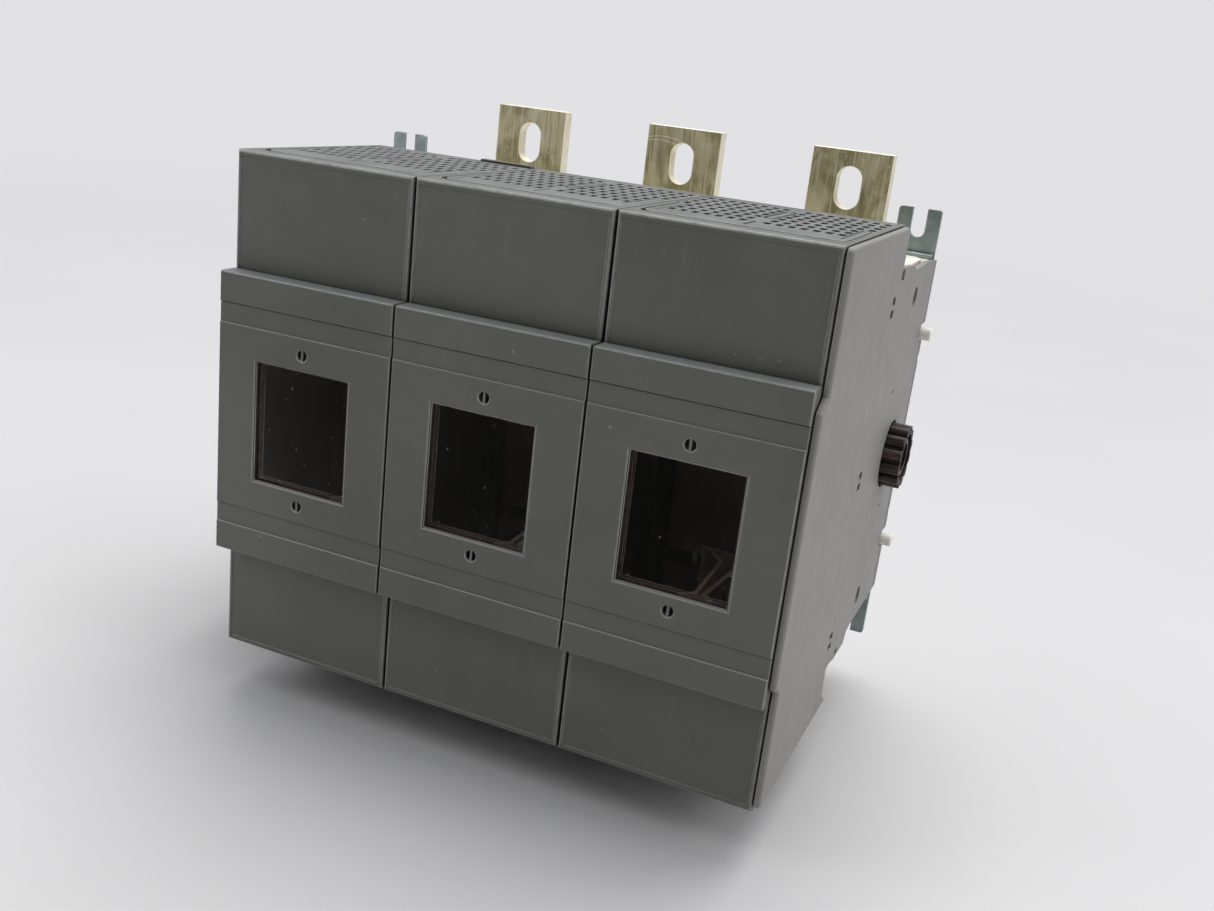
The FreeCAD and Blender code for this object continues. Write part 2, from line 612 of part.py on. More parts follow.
# ---------------------------------------------------------- bolts, pegs, screws
def make_tie_bolt(y, z):
    """Round bolt along X with a hexagonal head at the left end."""
    head_r = 7.5                 # across corners
    bolt = cyl_x(-191.0, 196.2, y, z, 4.0)
    corners = [(y + head_r * math.cos(math.pi / 3 * k), z + head_r * math.sin(math.pi / 3 * k))
               for k in range(6)]
    return clean(bolt.fuse(prism_yz(corners, -195.3, -190.3)))


def make_peg(z):
    peg = cyl_x(188.0, 207.4, PEG_Y, z, PEG_R)
    return round_edges(peg, 1.0, where=lambda p: p.x > 200)


SCREW_R = 2.45


def cut_cross(screw, face_centre, outward):
    """Sink a cross recess into the head, through the centre of its outer face."""
    for degrees in (45.0, 135.0):
        bar = Part.makeBox(5.0, 0.9, 1.6, Vector(-2.5, -0.45, 0))
        to_head = Placement(face_centre - outward * 1.4, Rotation(Vector(0, 0, 1), outward))
        turn = Placement(Vector(0, 0, 0), Rotation(Vector(0, 0, 1), degrees))
        bar.Placement = to_head.multiply(turn)
        screw = screw.cut(bar)
    return screw


def pan_screw(x, seat_y, z):
    """Pan-head screw facing the front; seat_y is the plane under the head."""
    length, head_r, head_height = 17.0, 4.3, 3.0
    outward = Vector(0, -1, 0)
    seat = Vector(x, seat_y, z)
    shank = Part.makeCylinder(SCREW_R, length, seat - outward * length, outward)
    head = Part.makeCylinder(head_r, head_height, seat, outward)
    face_y = seat_y - head_height
    head = round_edges(head, 1.0, where=lambda p: abs(p.y - face_y) < 1e-6)
    return cut_cross(shank.fuse(head), seat + outward * head_height, outward)


def flat_screw(x, face_y, z):
    """Countersunk screw facing the rear; face_y is the plane of the head face."""
    length, head_r, head_height = 16.0, 4.9, 2.45
    outward = Vector(0, 1, 0)
    face_centre = Vector(x, face_y, z)
    shank = Part.makeCylinder(SCREW_R, length, face_centre - outward * length, outward)
    head = Part.makeCone(SCREW_R, head_r, head_height,
                         face_centre - outward * head_height, outward)
    return cut_cross(shank.fuse(head), face_centre, outward)


# ---------------------------------------------------------- mounting brackets
def make_bracket(centre_x):
    """Upper fork plate on the rear of the case, with a lug over the top edge."""
    width, slot_width, thickness, top = 26.5, 9.0, 3.0, 143.5
    left, right = centre_x - width / 2, centre_x + width / 2
    fork = box(left, right, -thickness, 0.0, 92.0, top)
    fork = round_edges(fork, 2.0, "y")
    fork = fork.cut(box(centre_x - slot_width / 2, centre_x + slot_width / 2, -10, 10,
                        SLOT_Z, top + 5))
    fork = fork.cut(cyl_y(-10, 10, centre_x, SLOT_Z, slot_width / 2))
    lug_z0 = BASE_HALF_Z + 0.3
    lug_z1 = lug_z0 + 2.5
    lug = box(left + 0.6, right - 0.75, -9.0, -thickness + OVERLAP, lug_z0, lug_z1)
    bracket = clean(fork.fuse(lug))
    bracket = round_edges(bracket, 1.2, "x", lambda p: p.y < -8.9 and p.z > lug_z1 - 0.1)
    # countersunk screw hole
    hole_r = 2.8
    bracket = bracket.cut(cyl_y(-10, 10, centre_x, SCREW_Z, hole_r))
    return bracket.cut(Part.makeCone(hole_r, 5.6, 2.8, Vector(centre_x, -2.8, SCREW_Z),
                                     Vector(0, 1, 0)))


# ----------------------------------------------------------- mechanism module
MECH_X0, MECH_X1 = -198.5, -133.6
MECH_FRONT_Y = -165.0
MECH_WALL = 3.0
MECH_SCREWS = [(x, z) for z in (106.8, -106.8) for x in (MECH_X0 + 7.2, MECH_X1 - 7.2)]
HUB_X = -166.0                   # operating hub axis, along Y, at z = 0
ROD_X, ROD_Y, ROD_R = -187.0, -88.0, 3.5   # guide rods of the drive slide, along Z
GEAR_X = (-191.5, -182.5)        # shaft gear and its rack

TOOTH_MODULE = 1.25
SHAFT_TEETH, HUB_TEETH = 32, 16
SHAFT_PITCH_R = TOOTH_MODULE * SHAFT_TEETH / 2
HUB_PITCH_R = TOOTH_MODULE * HUB_TEETH / 2
PRESSURE = math.radians(20.0)
ADDENDUM = 0.8 * TOOTH_MODULE
DEDENDUM = 1.1 * TOOTH_MODULE
TOOTH_THINNING = 0.1             # taken off each tooth width for play


def make_mechanism_housing():
    bite_x0, bite_x1 = MECH_X0 + 2.5, MECH_X1 - 2.5
    bite_z = BASE_HALF_Z - 2.5
    housing = box(MECH_X0, MECH_X1, MECH_FRONT_Y, BASE_REAR_Y, -BASE_HALF_Z, BASE_HALF_Z)
    # edges of the left face, except the front one
    housing = round_edges(housing, 2.0,
                          where=lambda p: p.x < MECH_X0 + 0.1 and p.y > MECH_FRONT_Y + 1.0)
    inner_z = BASE_HALF_Z - MECH_WALL
    housing = housing.cut(box(MECH_X0 + MECH_WALL, MECH_X1 - MECH_WALL, MECH_FRONT_Y - 1,
                              BASE_INNER_REAR_Y, -inner_z, inner_z))
    added = [cyl_x(bite_x0, -192.4, SHAFT_Y, SHAFT_Z, 13.0),        # shaft bearing boss
             box(-178.0, bite_x1, -83.0, -79.0, -12.0, 12.0),       # hub bearing shelf
             box(bite_x0, -180.0, -96.0, -80.0, 66.0, 72.0),        # upper rod guide
             box(bite_x0, -180.0, -96.0, -80.0, -88.0, -82.0)]      # lower rod guide
    for end in (1, -1):
        # cover screw posts, then the bracket screw post
        z0, z1 = span(end, 102.0, bite_z)
        added.append(box(bite_x0, MECH_X0 + 12.0, MECH_FRONT_Y, -148.0, z0, z1))
        added.append(box(MECH_X1 - 12.0, bite_x1, MECH_FRONT_Y, -148.0, z0, z1))
        added.append(box(-SLOT_X - 7, -SLOT_X + 7, -25.0, -7.0, *span(end, 97.0, bite_z)))
    housing = fuse([housing] + added)
    tools = [cyl_x(-197.5, -190, SHAFT_Y, SHAFT_Z, 8.0),
             cyl_x(MECH_X1 - 5, MECH_X1 + 2, SHAFT_Y, SHAFT_Z, 14.0),
             cyl_y(-90, -70, HUB_X, 0, 6.0),
             cyl_z(60, 80, ROD_X, ROD_Y, ROD_R + 0.06),
             cyl_z(-95, -75, ROD_X, ROD_Y, ROD_R + 0.06)]
    tools += [cyl_x(MECH_X1 - 5, MECH_X1 + 2, y, z, TIE_HOLE_R) for y, z in TIE_BOLTS]
    tools += [cyl_y(MECH_FRONT_Y - 1, -150.0, x, z, PILOT_R) for x, z in MECH_SCREWS]
    tools += [cyl_y(-22.0, 0.0, -SLOT_X, end * SCREW_Z, PILOT_R) for end in (1, -1)]
    tools += rear_pockets((-181.0, -150.0), 12.5)
    return clean(cut_each(housing, tools))


def make_mechanism_cover():
    front_y = MECH_FRONT_Y - 3.2
    cover = box(MECH_X0, MECH_X1, front_y, MECH_FRONT_Y - 0.2, -BASE_HALF_Z, BASE_HALF_Z)
    cover = round_edges(cover, 1.2, where=lambda p: p.y < front_y + 0.1)
    # raised ring round the hub opening
    cover = cover.fuse(cyl_y(front_y - 1.2, front_y + 0.2, HUB_X, 0, 21.0))
    tools = [cyl_y(-180, -160, HUB_X, 0, 14.0),
             box(-190.5, -183.5, -175, -160, -5.0, 5.0)]            # indicator window
    tools += [cyl_y(-175, -160, x, z, CLEAR_R) for x, z in MECH_SCREWS]
    return clean(cut_each(cover, tools))


def involute(base_r, radius):
    t = math.sqrt((radius / base_r) ** 2 - 1.0)
    return t - math.atan(t)


def gear_points(teeth):
    """Outline of a spur gear about (0, 0), a tooth centred on angle 0.

    The flanks start on the base circle, so the root circle must be smaller.
    """
    flank_steps = 5
    pitch_r = TOOTH_MODULE * teeth / 2.0
    base_r = pitch_r * math.cos(PRESSURE)
    tip_r, root_r = pitch_r + ADDENDUM, pitch_r - DEDENDUM
    half_angle = (math.pi * TOOTH_MODULE / 2.0 - TOOTH_THINNING) / 2.0 / pitch_r
    flank = []                   # (radius, angle from the tooth centre)
    for i in range(flank_steps + 1):
        radius = base_r + (tip_r - base_r) * i / flank_steps
        flank.append((radius, half_angle + involute(base_r, pitch_r) - involute(base_r, radius)))
    flank.insert(0, (root_r, flank[0][1]))
    polar = []
    for k in range(teeth):
        centre = 2.0 * math.pi * k / teeth
        polar += [(radius, centre - angle) for radius, angle in flank]
        polar += [(radius, centre + angle) for radius, angle in reversed(flank)]
    return [(radius * math.cos(angle), radius * math.sin(angle)) for radius, angle in polar]


def rack_points():
    """Rack teeth as (travel, height over the pitch line); a space is centred on travel 0."""
    pitch = math.pi * TOOTH_MODULE
    slope = math.tan(PRESSURE)
    half = (pitch / 2.0 - TOOTH_THINNING) / 2.0
    points = []
    for k in range(-7, 4):
        centre = (k + 0.5) * pitch
        points += [(centre - half - DEDENDUM * slope, -DEDENDUM),
                   (centre - half + ADDENDUM * slope, ADDENDUM),
                   (centre + half - ADDENDUM * slope, ADDENDUM),
                   (centre + half + DEDENDUM * slope, -DEDENDUM)]
    return points


def make_handle_hub():
    """Stepped hub along Y with its pinion; a tooth points to the rack (-X)."""
    pinion = prism_xz([(HUB_X - a, b) for a, b in gear_points(HUB_TEETH)], -97.0, -85.0)
    # (y0, y1, radius): stem, flange, front boss, rear journal
    steps = ((-162.0, -96.5, 8.0), (-165.0, -161.0, 16.0),
             (-171.5, -164.5, 13.93), (-85.5, -79.4, 5.94))
    hub = clean(fuse([pinion] + [cyl_y(y0, y1, HUB_X, 0, radius) for y0, y1, radius in steps]))
    # square socket in the front, and an index notch above it
    hub = hub.cut(box(HUB_X - 6.05, HUB_X + 6.05, -173.0, -145.0, -6.05, 6.05))
    return hub.cut(box(HUB_X - 1.0, HUB_X + 1.0, -173.0, -170.6, 8.5, 15.0))


def make_shaft_pinion():
    """Gear on the main shaft; a tooth points to the rack (-Y)."""
    outline = [(SHAFT_Y - a, SHAFT_Z + b) for a, b in gear_points(SHAFT_TEETH)]
    return prism_yz(outline, *GEAR_X).cut(to_shaft(square_bar(-200, -180, SHAFT_HOLE_HALF)))


def rack_body(back, pitch_line, low_z, high_z):
    """Outline (depth, z) of a rack bar from its flat back to its teeth."""
    root = pitch_line - DEDENDUM
    teeth = [(pitch_line + height, travel) for travel, height in rack_points()]
    return [(back, low_z), (root, low_z)] + teeth + [(root, high_z), (back, high_z)]


def make_drive_slide():
    """One rack towards the shaft gear (+Y), one towards the hub pinion (+X), two rods."""
    shaft_rack = prism_yz(rack_body(-96.0, SHAFT_Y - SHAFT_PITCH_R, -52.0, 36.0), *GEAR_X)
    hub_rack = prism_xz(rack_body(-184.0, HUB_X - HUB_PITCH_R, -45.0, 28.0), -96.0, -86.0)
    slide = shaft_rack.fuse(hub_rack)
    return clean(slide.fuse([cyl_z(35.0, 80.0, ROD_X, ROD_Y, ROD_R),
                             cyl_z(-106.0, -51.0, ROD_X, ROD_Y, ROD_R)]))


def make_position_indicator():
    arm = box(-189.0, -185.0, -163.4, -96.1, -10.0, -4.0)
    flag = box(-193.0, -182.6, -164.6, -163.0, -22.0, 7.0)
    return clean(fuse([arm, flag]))


def make_spring(z0, z1):
    """Coil spring round a guide rod."""
    turns, coil_r, wire_r = 6, 5.5, 0.75
    height = z1 - z0 - 2 * wire_r
    helix = Part.makeHelix(height / turns, height, coil_r)
    section = Part.Wire(Part.makeCircle(wire_r, Vector(coil_r, 0, 0), Vector(0, 1, 0)))
    spring = Part.Wire(helix.Edges).makePipeShell([section], True, True)
    spring.translate(Vector(ROD_X, ROD_Y, z0 + wire_r))
    return spring


# ------------------------------------------------------------ build and save
grille = make_top_grille()
jaw = make_jaw()
terminal = make_terminal()
pole_pieces = {
    "front_cover": [make_front_cover()],
    "fuse_door": [make_door()],
    "door_window": [make_window()],
    "top_grille": [grille],
    "bottom_grille": [mirror_z(grille)],
    "pole_base": [make_base()],
    "fuse_bay_panel": [make_bay_panel()],
    "upper_fuse_jaw": [jaw],
    "lower_fuse_jaw": [mirror_z(jaw)],
    "line_terminal": [terminal],
    "load_terminal": [mirror_z(terminal)],
    "contact_rotor": [make_rotor()],
    "contact_blades": make_blades(),
    "arc_plates": make_arc_plates(),
}
for number, pole_x in enumerate(POLE_X, 1):
    for name, shapes in pole_pieces.items():
        save("%s_%d" % (name, number), [at_x(shape, pole_x) for shape in shapes])

clip = make_jaw_spring()
save("jaw_springs", [at_x(shape, x) for x in POLE_X for shape in (clip, mirror_z(clip))])
save("door_hinge_pins", [pin for x in POLE_X for pin in make_hinge_pins(x)])

save("main_shaft", [make_main_shaft()])
save("shaft_coupling", [make_shaft_coupling()])
save("right_end_plate", [make_end_plate()])
save("tie_bolts", [make_tie_bolt(y, z) for y, z in TIE_BOLTS])
save("connector_pegs", [make_peg(end * PEG_Z) for end in (1, -1)])

brackets = [make_bracket(x) for x in (-SLOT_X, SLOT_X)]
save("mount_brackets", [shape for upper in brackets for shape in (upper, mirror_z(upper))])

save("mechanism_housing", [make_mechanism_housing()])
save("mechanism_cover", [make_mechanism_cover()])
save("handle_hub", [make_handle_hub()])
save("shaft_pinion", [make_shaft_pinion()])
save("drive_slide", [make_drive_slide()])
save("position_indicator", [make_position_indicator()])
save("upper_spring", [make_spring(36.2, 65.8)])
save("lower_spring", [make_spring(-81.8, -52.2)])

screws = [pan_screw(x + side * CASE_SCREW_X, EAR_FRONT_Y - FIT, end * SCREW_Z)
          for x in POLE_X for side in (1, -1) for end in (1, -1)]
screws += [flat_screw(side * SLOT_X, -0.25, end * SCREW_Z)
           for side in (1, -1) for end in (1, -1)]
screws += [pan_screw(x, MECH_FRONT_Y - 3.3, z) for x, z in MECH_SCREWS]
save("case_screws", screws)
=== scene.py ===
# A three-pole fused switch. The poles stand side by side along X with their fronts towards -Y
# and +Z up, centred on z = 0. The mechanism is at the left end (-X), the shaft coupling at the
# right end (+X). Lengths are metres.
import math
from fnmatch import fnmatchcase
from functools import cached_property, reduce

import bmesh
import bpy
from mathutils import Matrix, Vector

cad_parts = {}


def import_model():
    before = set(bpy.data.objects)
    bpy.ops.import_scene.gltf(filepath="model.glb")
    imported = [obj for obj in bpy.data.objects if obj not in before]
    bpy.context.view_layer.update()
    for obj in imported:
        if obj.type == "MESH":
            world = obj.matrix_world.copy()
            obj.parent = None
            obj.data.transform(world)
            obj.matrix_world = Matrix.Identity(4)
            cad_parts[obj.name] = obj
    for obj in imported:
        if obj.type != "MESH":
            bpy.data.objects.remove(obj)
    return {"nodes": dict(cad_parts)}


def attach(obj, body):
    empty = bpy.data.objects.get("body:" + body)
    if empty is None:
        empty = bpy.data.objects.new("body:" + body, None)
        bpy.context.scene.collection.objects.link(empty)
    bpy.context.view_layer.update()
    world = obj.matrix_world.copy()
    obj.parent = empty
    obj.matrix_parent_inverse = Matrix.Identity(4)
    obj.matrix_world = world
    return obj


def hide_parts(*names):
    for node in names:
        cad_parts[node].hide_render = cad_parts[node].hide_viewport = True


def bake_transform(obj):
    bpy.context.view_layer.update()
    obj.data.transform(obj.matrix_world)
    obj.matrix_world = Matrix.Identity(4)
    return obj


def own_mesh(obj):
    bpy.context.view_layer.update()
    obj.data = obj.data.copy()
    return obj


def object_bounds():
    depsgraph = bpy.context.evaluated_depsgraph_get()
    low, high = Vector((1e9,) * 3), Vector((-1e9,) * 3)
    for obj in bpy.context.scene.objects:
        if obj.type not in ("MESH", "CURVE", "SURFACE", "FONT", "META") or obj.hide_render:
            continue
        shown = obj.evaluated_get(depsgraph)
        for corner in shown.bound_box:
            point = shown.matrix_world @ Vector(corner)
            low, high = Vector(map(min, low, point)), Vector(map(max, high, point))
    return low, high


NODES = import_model()["nodes"]
cad_lo, cad_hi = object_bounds()

POLE_PITCH = 0.110
POLE_X = [-0.078 + POLE_PITCH * i for i in range(3)]
CASE_HALF_HEIGHT = 0.1432
SLIDE_ROD_X, SLIDE_ROD_Y = -0.187, -0.088
BACKDROP = (0.760, 0.757, 0.775)


# ---------------------------------------------------------------- node kit
class Value:
    """A node output. +, -, * and abs() each add a Math node."""

    def __init__(self, graph, socket):
        self.graph, self.socket = graph, socket

    def __add__(self, other):
        return self.graph.calc("ADD", self, other)

    def __radd__(self, other):
        return self.graph.calc("ADD", other, self)

    def __sub__(self, other):
        return self.graph.calc("SUBTRACT", self, other)

    def __rsub__(self, other):
        return self.graph.calc("SUBTRACT", other, self)

    def __mul__(self, other):
        return self.graph.calc("MULTIPLY", self, other)

    def __abs__(self):
        return self.graph.calc("ABSOLUTE", self)

    def step(self, start, end, low=0.0, high=1.0):
        """Smooth ramp: low where this value is at start, high where it is at end."""
        return self.graph.node("ShaderNodeMapRange", {0: self, 1: start, 2: end, 3: low, 4: high},
                               interpolation_type="SMOOTHSTEP")

    def spread(self, low=0.0, high=1.0):
        """Stretch the middle of a noise over low to high."""
        return self.step(0.3, 0.7, low, high)


class Graph:
    """The node tree of a material or world."""

    def __init__(self, owner):
        owner.use_nodes = True
        self.tree = owner.node_tree
        self.tree.nodes.clear()

    def make(self, kind, inputs=None, **settings):
        node = self.tree.nodes.new(kind)
        for key, value in settings.items():
            setattr(node, key, value)
        for key, value in (inputs or {}).items():
            socket = node.inputs[key]
            if isinstance(value, Value):
                self.tree.links.new(value.socket, socket)
            elif isinstance(value, (tuple, list)):
                # an RGB colour gets an alpha of 1
                socket.default_value = (list(value) + [1.0])[:len(socket.default_value)]
            else:
                socket.default_value = value
        return node

    def node(self, kind, inputs=None, output=0, **settings):
        return Value(self, self.make(kind, inputs, **settings).outputs[output])

    def calc(self, operation, first, second=0.0):
        return self.node("ShaderNodeMath", {0: first, 1: second, 2: 0.0}, operation=operation)

    def split(self, vector):
        outputs = self.make("ShaderNodeSeparateXYZ", {0: vector}).outputs
        return [Value(self, socket) for socket in outputs]

    def mix_shader(self, factor, under, over):
        return self.node("ShaderNodeMixShader", {0: factor, 1: under, 2: over})


class Material(Graph):
    """One procedural material. Object coordinates are metres in the part's own frame."""

    def __init__(self, name):
        self.data = bpy.data.materials.new(name)
        super().__init__(self.data)
        self.coords = self.node("ShaderNodeTexCoord", output="Object")
        self.geometry = self.make("ShaderNodeNewGeometry").outputs

    @cached_property
    def position(self):
        return self.split(self.coords)

    @cached_property
    def normal(self):
        return self.split(Value(self, self.geometry["True Normal"]))

    def maximum(self, first, second):
        return self.calc("MAXIMUM", first, second)

    def length(self, first, second):
        return self.calc("SQRT", first * first + second * second)

    def mapped(self, scale=(1, 1, 1), turn=(0, 0, 0), shift=(0, 0, 0), source=None):
        return self.node("ShaderNodeMapping", {"Vector": source or self.coords, "Scale": scale,
                                               "Rotation": turn, "Location": shift})

    def noise(self, scale, detail=4, rough=0.55, warp=0.0, vector=None):
        return self.node("ShaderNodeTexNoise", {
            "Vector": vector or self.coords, "Scale": scale, "Detail": detail,
            "Roughness": rough, "Distortion": warp})

    def cells(self, scale, vector=None):
        """Distance to the nearest cell point, and the cell's random colour."""
        outputs = self.make("ShaderNodeTexVoronoi", {"Vector": vector or self.coords,
                                                     "Scale": scale}, feature="F1").outputs
        return Value(self, outputs["Distance"]), Value(self, outputs["Color"])

    def speckles(self, scale, radius, cut, soft):
        """Round dots in the few cells whose random value is above cut."""
        distance, color = self.cells(scale)
        chosen = self.node("ShaderNodeSeparateColor", {0: color}).step(cut, cut + soft)
        return distance.step(radius, radius * 0.4) * chosen

    def spots(self, places, radius):
        """A mask, 1 inside small round marks at the given places."""
        return reduce(self.maximum, [
            self.node("ShaderNodeVectorMath", {0: self.coords, 1: place}, "Value",
                      operation="DISTANCE").step(radius, radius * 0.35)
            for place in places])

    def mix(self, factor, under, over, mode="MIX"):
        return self.node("ShaderNodeMix", {0: factor, 6: under, 7: over}, 2,
                         data_type="RGBA", blend_type=mode)

    def toned(self, base, tone):
        """The base colour times a grey value."""
        grey = self.node("ShaderNodeCombineColor", {0: tone, 1: tone, 2: tone})
        return self.mix(1.0, base, grey, "MULTIPLY")

    def bevel(self, radius):
        return self.node("ShaderNodeBevel", {"Radius": radius}, samples=4)

    def edge(self, rounded, low=0.015, high=0.16):
        """A mask of edges: where the rounded normal leaves the true one."""
        dot = self.node("ShaderNodeVectorMath",
                        {0: rounded, 1: Value(self, self.geometry["Normal"])}, "Value",
                        operation="DOT_PRODUCT")
        return (1.0 - dot).step(low, high)

    def occlusion(self, distance):
        return self.node("ShaderNodeAmbientOcclusion", {"Distance": distance}, "AO", samples=4)

    def bump(self, height, distance, normal=None):
        inputs = {"Height": height, "Distance": distance, "Strength": 1.0}
        if normal is not None:
            inputs["Normal"] = normal
        return self.node("ShaderNodeBump", inputs)

    def principled(self, **inputs):
        return self.node("ShaderNodeBsdfPrincipled",
                         {key.replace("_", " "): value for key, value in inputs.items()})

    def finish(self, shader):
        self.make("ShaderNodeOutputMaterial", {"Surface": shader})
        return self.data


def scaled(color, gain, lift=0.0):
    return tuple(min(1.0, c * gain + lift) for c in color)


# ---------------------------------------------------------------- plastic
def hair_scratches(mat):
    """Fine lines in two directions, each showing only in patches."""
    layers = []
    for turn, tilt, across, patch in ((0.35, 0.0, 300, 26), (-0.9, 0.25, 240, 35)):
        stretched = mat.mapped(scale=(across, across, 5), turn=(turn, tilt, turn * 1.7))
        wave = mat.noise(1, detail=1, rough=0.5, warp=0.15, vector=stretched)
        patches = mat.noise(patch, detail=2, rough=0.5).step(0.60, 0.72)
        layers.append(abs(wave - 0.5).step(0.0045, 0.0010) * patches)
    return mat.maximum(*layers)


def paint_edge_highlights(mat, color, ao, edge_color):
    """Lighten modelled roundings with painted highlight broken up by wear, more where they face
    up, and paint a highlight on the front ledges that face up.
    """
    nx, ny, nz = mat.normal
    x, y, z = mat.position
    fillet = mat.maximum(abs(ny * nz), abs(ny * nx))
    fillet = fillet.step(0.10, 0.40) * nz.step(-0.6, 0.3, 0.35, 1.0)
    wear = mat.noise(240, detail=3, rough=0.6).step(0.25, 0.6, 0.55, 1.0)
    fillet = fillet * (wear * ao.step(0.30, 0.70))
    color = mat.mix(fillet * 0.58, color, edge_color)
    # painted highlight on the front ledges that face up
    front = y.step(-0.2660, -0.2672) * abs(z).step(0.072, 0.070)
    ledge = nz.step(0.80, 0.95) * front
    return mat.mix(ledge * 0.85, color, scaled(edge_color, 1.5))


def paint_upper_ledge_light(mat, color, ao):
    """Painted light: a pale strip on the front ledge just above the door."""
    x, y, z = mat.position
    top = mat.normal[2].step(0.80, 0.95) * y.step(-0.2568, -0.2576)
    top = top * z.step(0.076, 0.079) * z.step(0.084, 0.082)
    return mat.mix(top * (ao.step(0.20, 0.55) * 0.75), color, (0.255, 0.268, 0.268))


def paint_inside_shade(mat, color, base, pole_x):
    """Painted shade: the inner faces of the hollow moulding are made dark."""
    x, y, z = mat.position
    depth = abs(z).step(0.1424, 0.1414) * y.step(-0.2560, -0.2545)
    inside = abs(x - pole_x).step(0.0536, 0.0526) * depth
    return mat.mix(inside * 0.80, color, scaled(base, 0.10))


def darken_rear(mat, color, start, end, band_color):
    """A darker band behind the line through two (z, y) points."""
    (z0, y0), (z1, y1) = start, end
    x, y, z = mat.position
    line = (z - z0) * ((y1 - y0) / (z1 - z0)) + y0
    return mat.mix((y - line).step(-0.0012, 0.0016) * 0.80, color, band_color)


def plastic(name, base, rough=0.47, grain=0.00004, grain_scale=2600, bevel=0.0006,
            edge_gain=1.5, mottle=0.10, specks=0.0, dust=0.25, scratch=0.35,
            speck_color=(0.42, 0.41, 0.39), marks=None, subsurface=0.0, gap=0.45,
            rear_band=None, edge_color=None, inside=None, vents=None):
    """Moulded plastic: grain, slow mottling, lighter edges of wear and painted highlight, dust,
    scratches, nicks.

    gap sets the painted shade in inner corners; inside is the pole's x for painted shade on the
    inner faces; vents is the height beyond which the walls of the vents stay light, below it they
    get painted shade.
    """
    mat = Material(name)
    rounded = mat.bevel(bevel)
    ao = mat.occlusion(0.003)
    edge_wear_and_highlight = mat.edge(rounded, 0.012, 0.12) * ao.step(0.50, 0.80)
    # edges that face down stay dark: the painted edge highlight is kept to edges that face up
    edge_wear_and_highlight = edge_wear_and_highlight * mat.split(rounded)[2].step(-0.30, -0.02, 0.10, 1.0)

    cloud = mat.noise(9, detail=3, rough=0.5, warp=0.4)
    medium = mat.noise(70, detail=4, rough=0.6)
    fine = mat.noise(grain_scale, detail=2, rough=0.6)
    tone = cloud.spread(1.0 - mottle, 1.0 + mottle) + medium.spread(-mottle * 0.4, mottle * 0.4)
    color = mat.toned(base, tone * fine.step(0.25, 0.75, 0.93, 1.07))
    color = mat.mix(hair_scratches(mat) * scratch, color, scaled(base, 1.9, 0.06))
    # lighter edges: part wear, part painted highlight
    patches = mat.noise(160, detail=3, rough=0.6).step(0.2, 0.6, 0.60, 1.0)
    color = mat.mix(edge_wear_and_highlight * patches, color, edge_color or scaled(base, edge_gain, 0.02))
    if edge_color:
        color = paint_edge_highlights(mat, color, ao, edge_color)

    # dust settles on surfaces that face up; inner corners get painted shade
    settled = mat.noise(38, detail=5, rough=0.65).step(0.35, 0.75, 0.15, 1.0)
    powder = mat.normal[2].step(0.55, 0.98) * settled * dust
    color = mat.mix(powder, color, (0.40, 0.40, 0.39))
    color = mat.mix(ao.step(0.66, 0.28) * gap, color, scaled(base, 0.16))
    # painted light on the ledge above the door
    if edge_color:
        color = paint_upper_ledge_light(mat, color, ao)
    if specks:
        dots = mat.speckles(150, radius=0.075, cut=0.985, soft=0.005)
        color = mat.mix(dots * specks, color, speck_color)
    # painted shade on the inner faces of the moulding
    if inside is not None:
        color = paint_inside_shade(mat, color, base, inside)
    if vents is not None:
        # painted shade on the vent walls below the top face
        vent_shade = abs(mat.position[2]).step(vents - 0.0003, vents - 0.0013)
        color = mat.mix(vent_shade * 0.90, color, scaled(base, 0.08))
    if rear_band:
        color = darken_rear(mat, color, *rear_band)
    relief = fine * 1.0
    if marks:
        nicks = mat.spots(marks, radius=0.0010)
        color = mat.mix(nicks * 0.45, color, speck_color)
        relief = relief + nicks * -6.0

    gloss = medium.spread(rough - 0.05, rough + 0.05) + powder * 0.25
    inputs = dict(Base_Color=color, Roughness=gloss - edge_wear_and_highlight * 0.08, Specular_IOR_Level=0.5,
                  Normal=mat.bump(relief + medium * 0.6, grain, rounded))
    if subsurface:
        inputs.update(Subsurface_Weight=subsurface, Subsurface_Radius=(0.004, 0.003, 0.002),
                      Subsurface_Scale=0.5)
    return mat.finish(mat.principled(**inputs))


# ---------------------------------------------------------------- metals
def steel(name, base, rough, streak, axis="z", tint=None, bevel=0.0004, grime_and_shade=0.35,
          metallic=1.0, edge_gain=1.35):
    """Metal with streaks along one axis, cloudy plating, bright edges of wear and painted
    highlight, grime and painted shade in corners.
    """
    mat = Material(name)
    rounded = mat.bevel(bevel)
    ao = mat.occlusion(0.005)
    edge_wear_and_highlight = mat.edge(rounded) * ao.step(0.70, 0.97)
    stretch = [6.0 if letter == axis else streak for letter in "xyz"]
    lines = mat.noise(1, detail=3, rough=0.6, warp=0.1, vector=mat.mapped(stretch))
    cloud = mat.noise(85, detail=4, rough=0.6, warp=0.6)
    color = mat.toned(base, lines.step(0.25, 0.75, 0.90, 1.08) + cloud.spread(-0.12, 0.12))
    if tint is not None:
        patches = mat.noise(42, detail=4, rough=0.62, warp=0.8).step(0.46, 0.66)
        color = mat.mix(patches, color, tint)
    # bright edges: wear and painted highlight
    color = mat.mix(edge_wear_and_highlight * 0.7, color, scaled(base, edge_gain, 0.08))
    # grime and painted shade in corners
    shade_and_dirt = ao.step(0.85, 0.35) * grime_and_shade
    color = mat.mix(shade_and_dirt, color, (0.05, 0.042, 0.035))
    return mat.finish(mat.principled(
        Base_Color=color, Metallic=metallic,
        Roughness=cloud.step(0.25, 0.75, rough - 0.07, rough + 0.08) + shade_and_dirt * 0.3,
        Normal=mat.bump(lines * 0.7 + cloud * 0.6, 0.00004, rounded)))


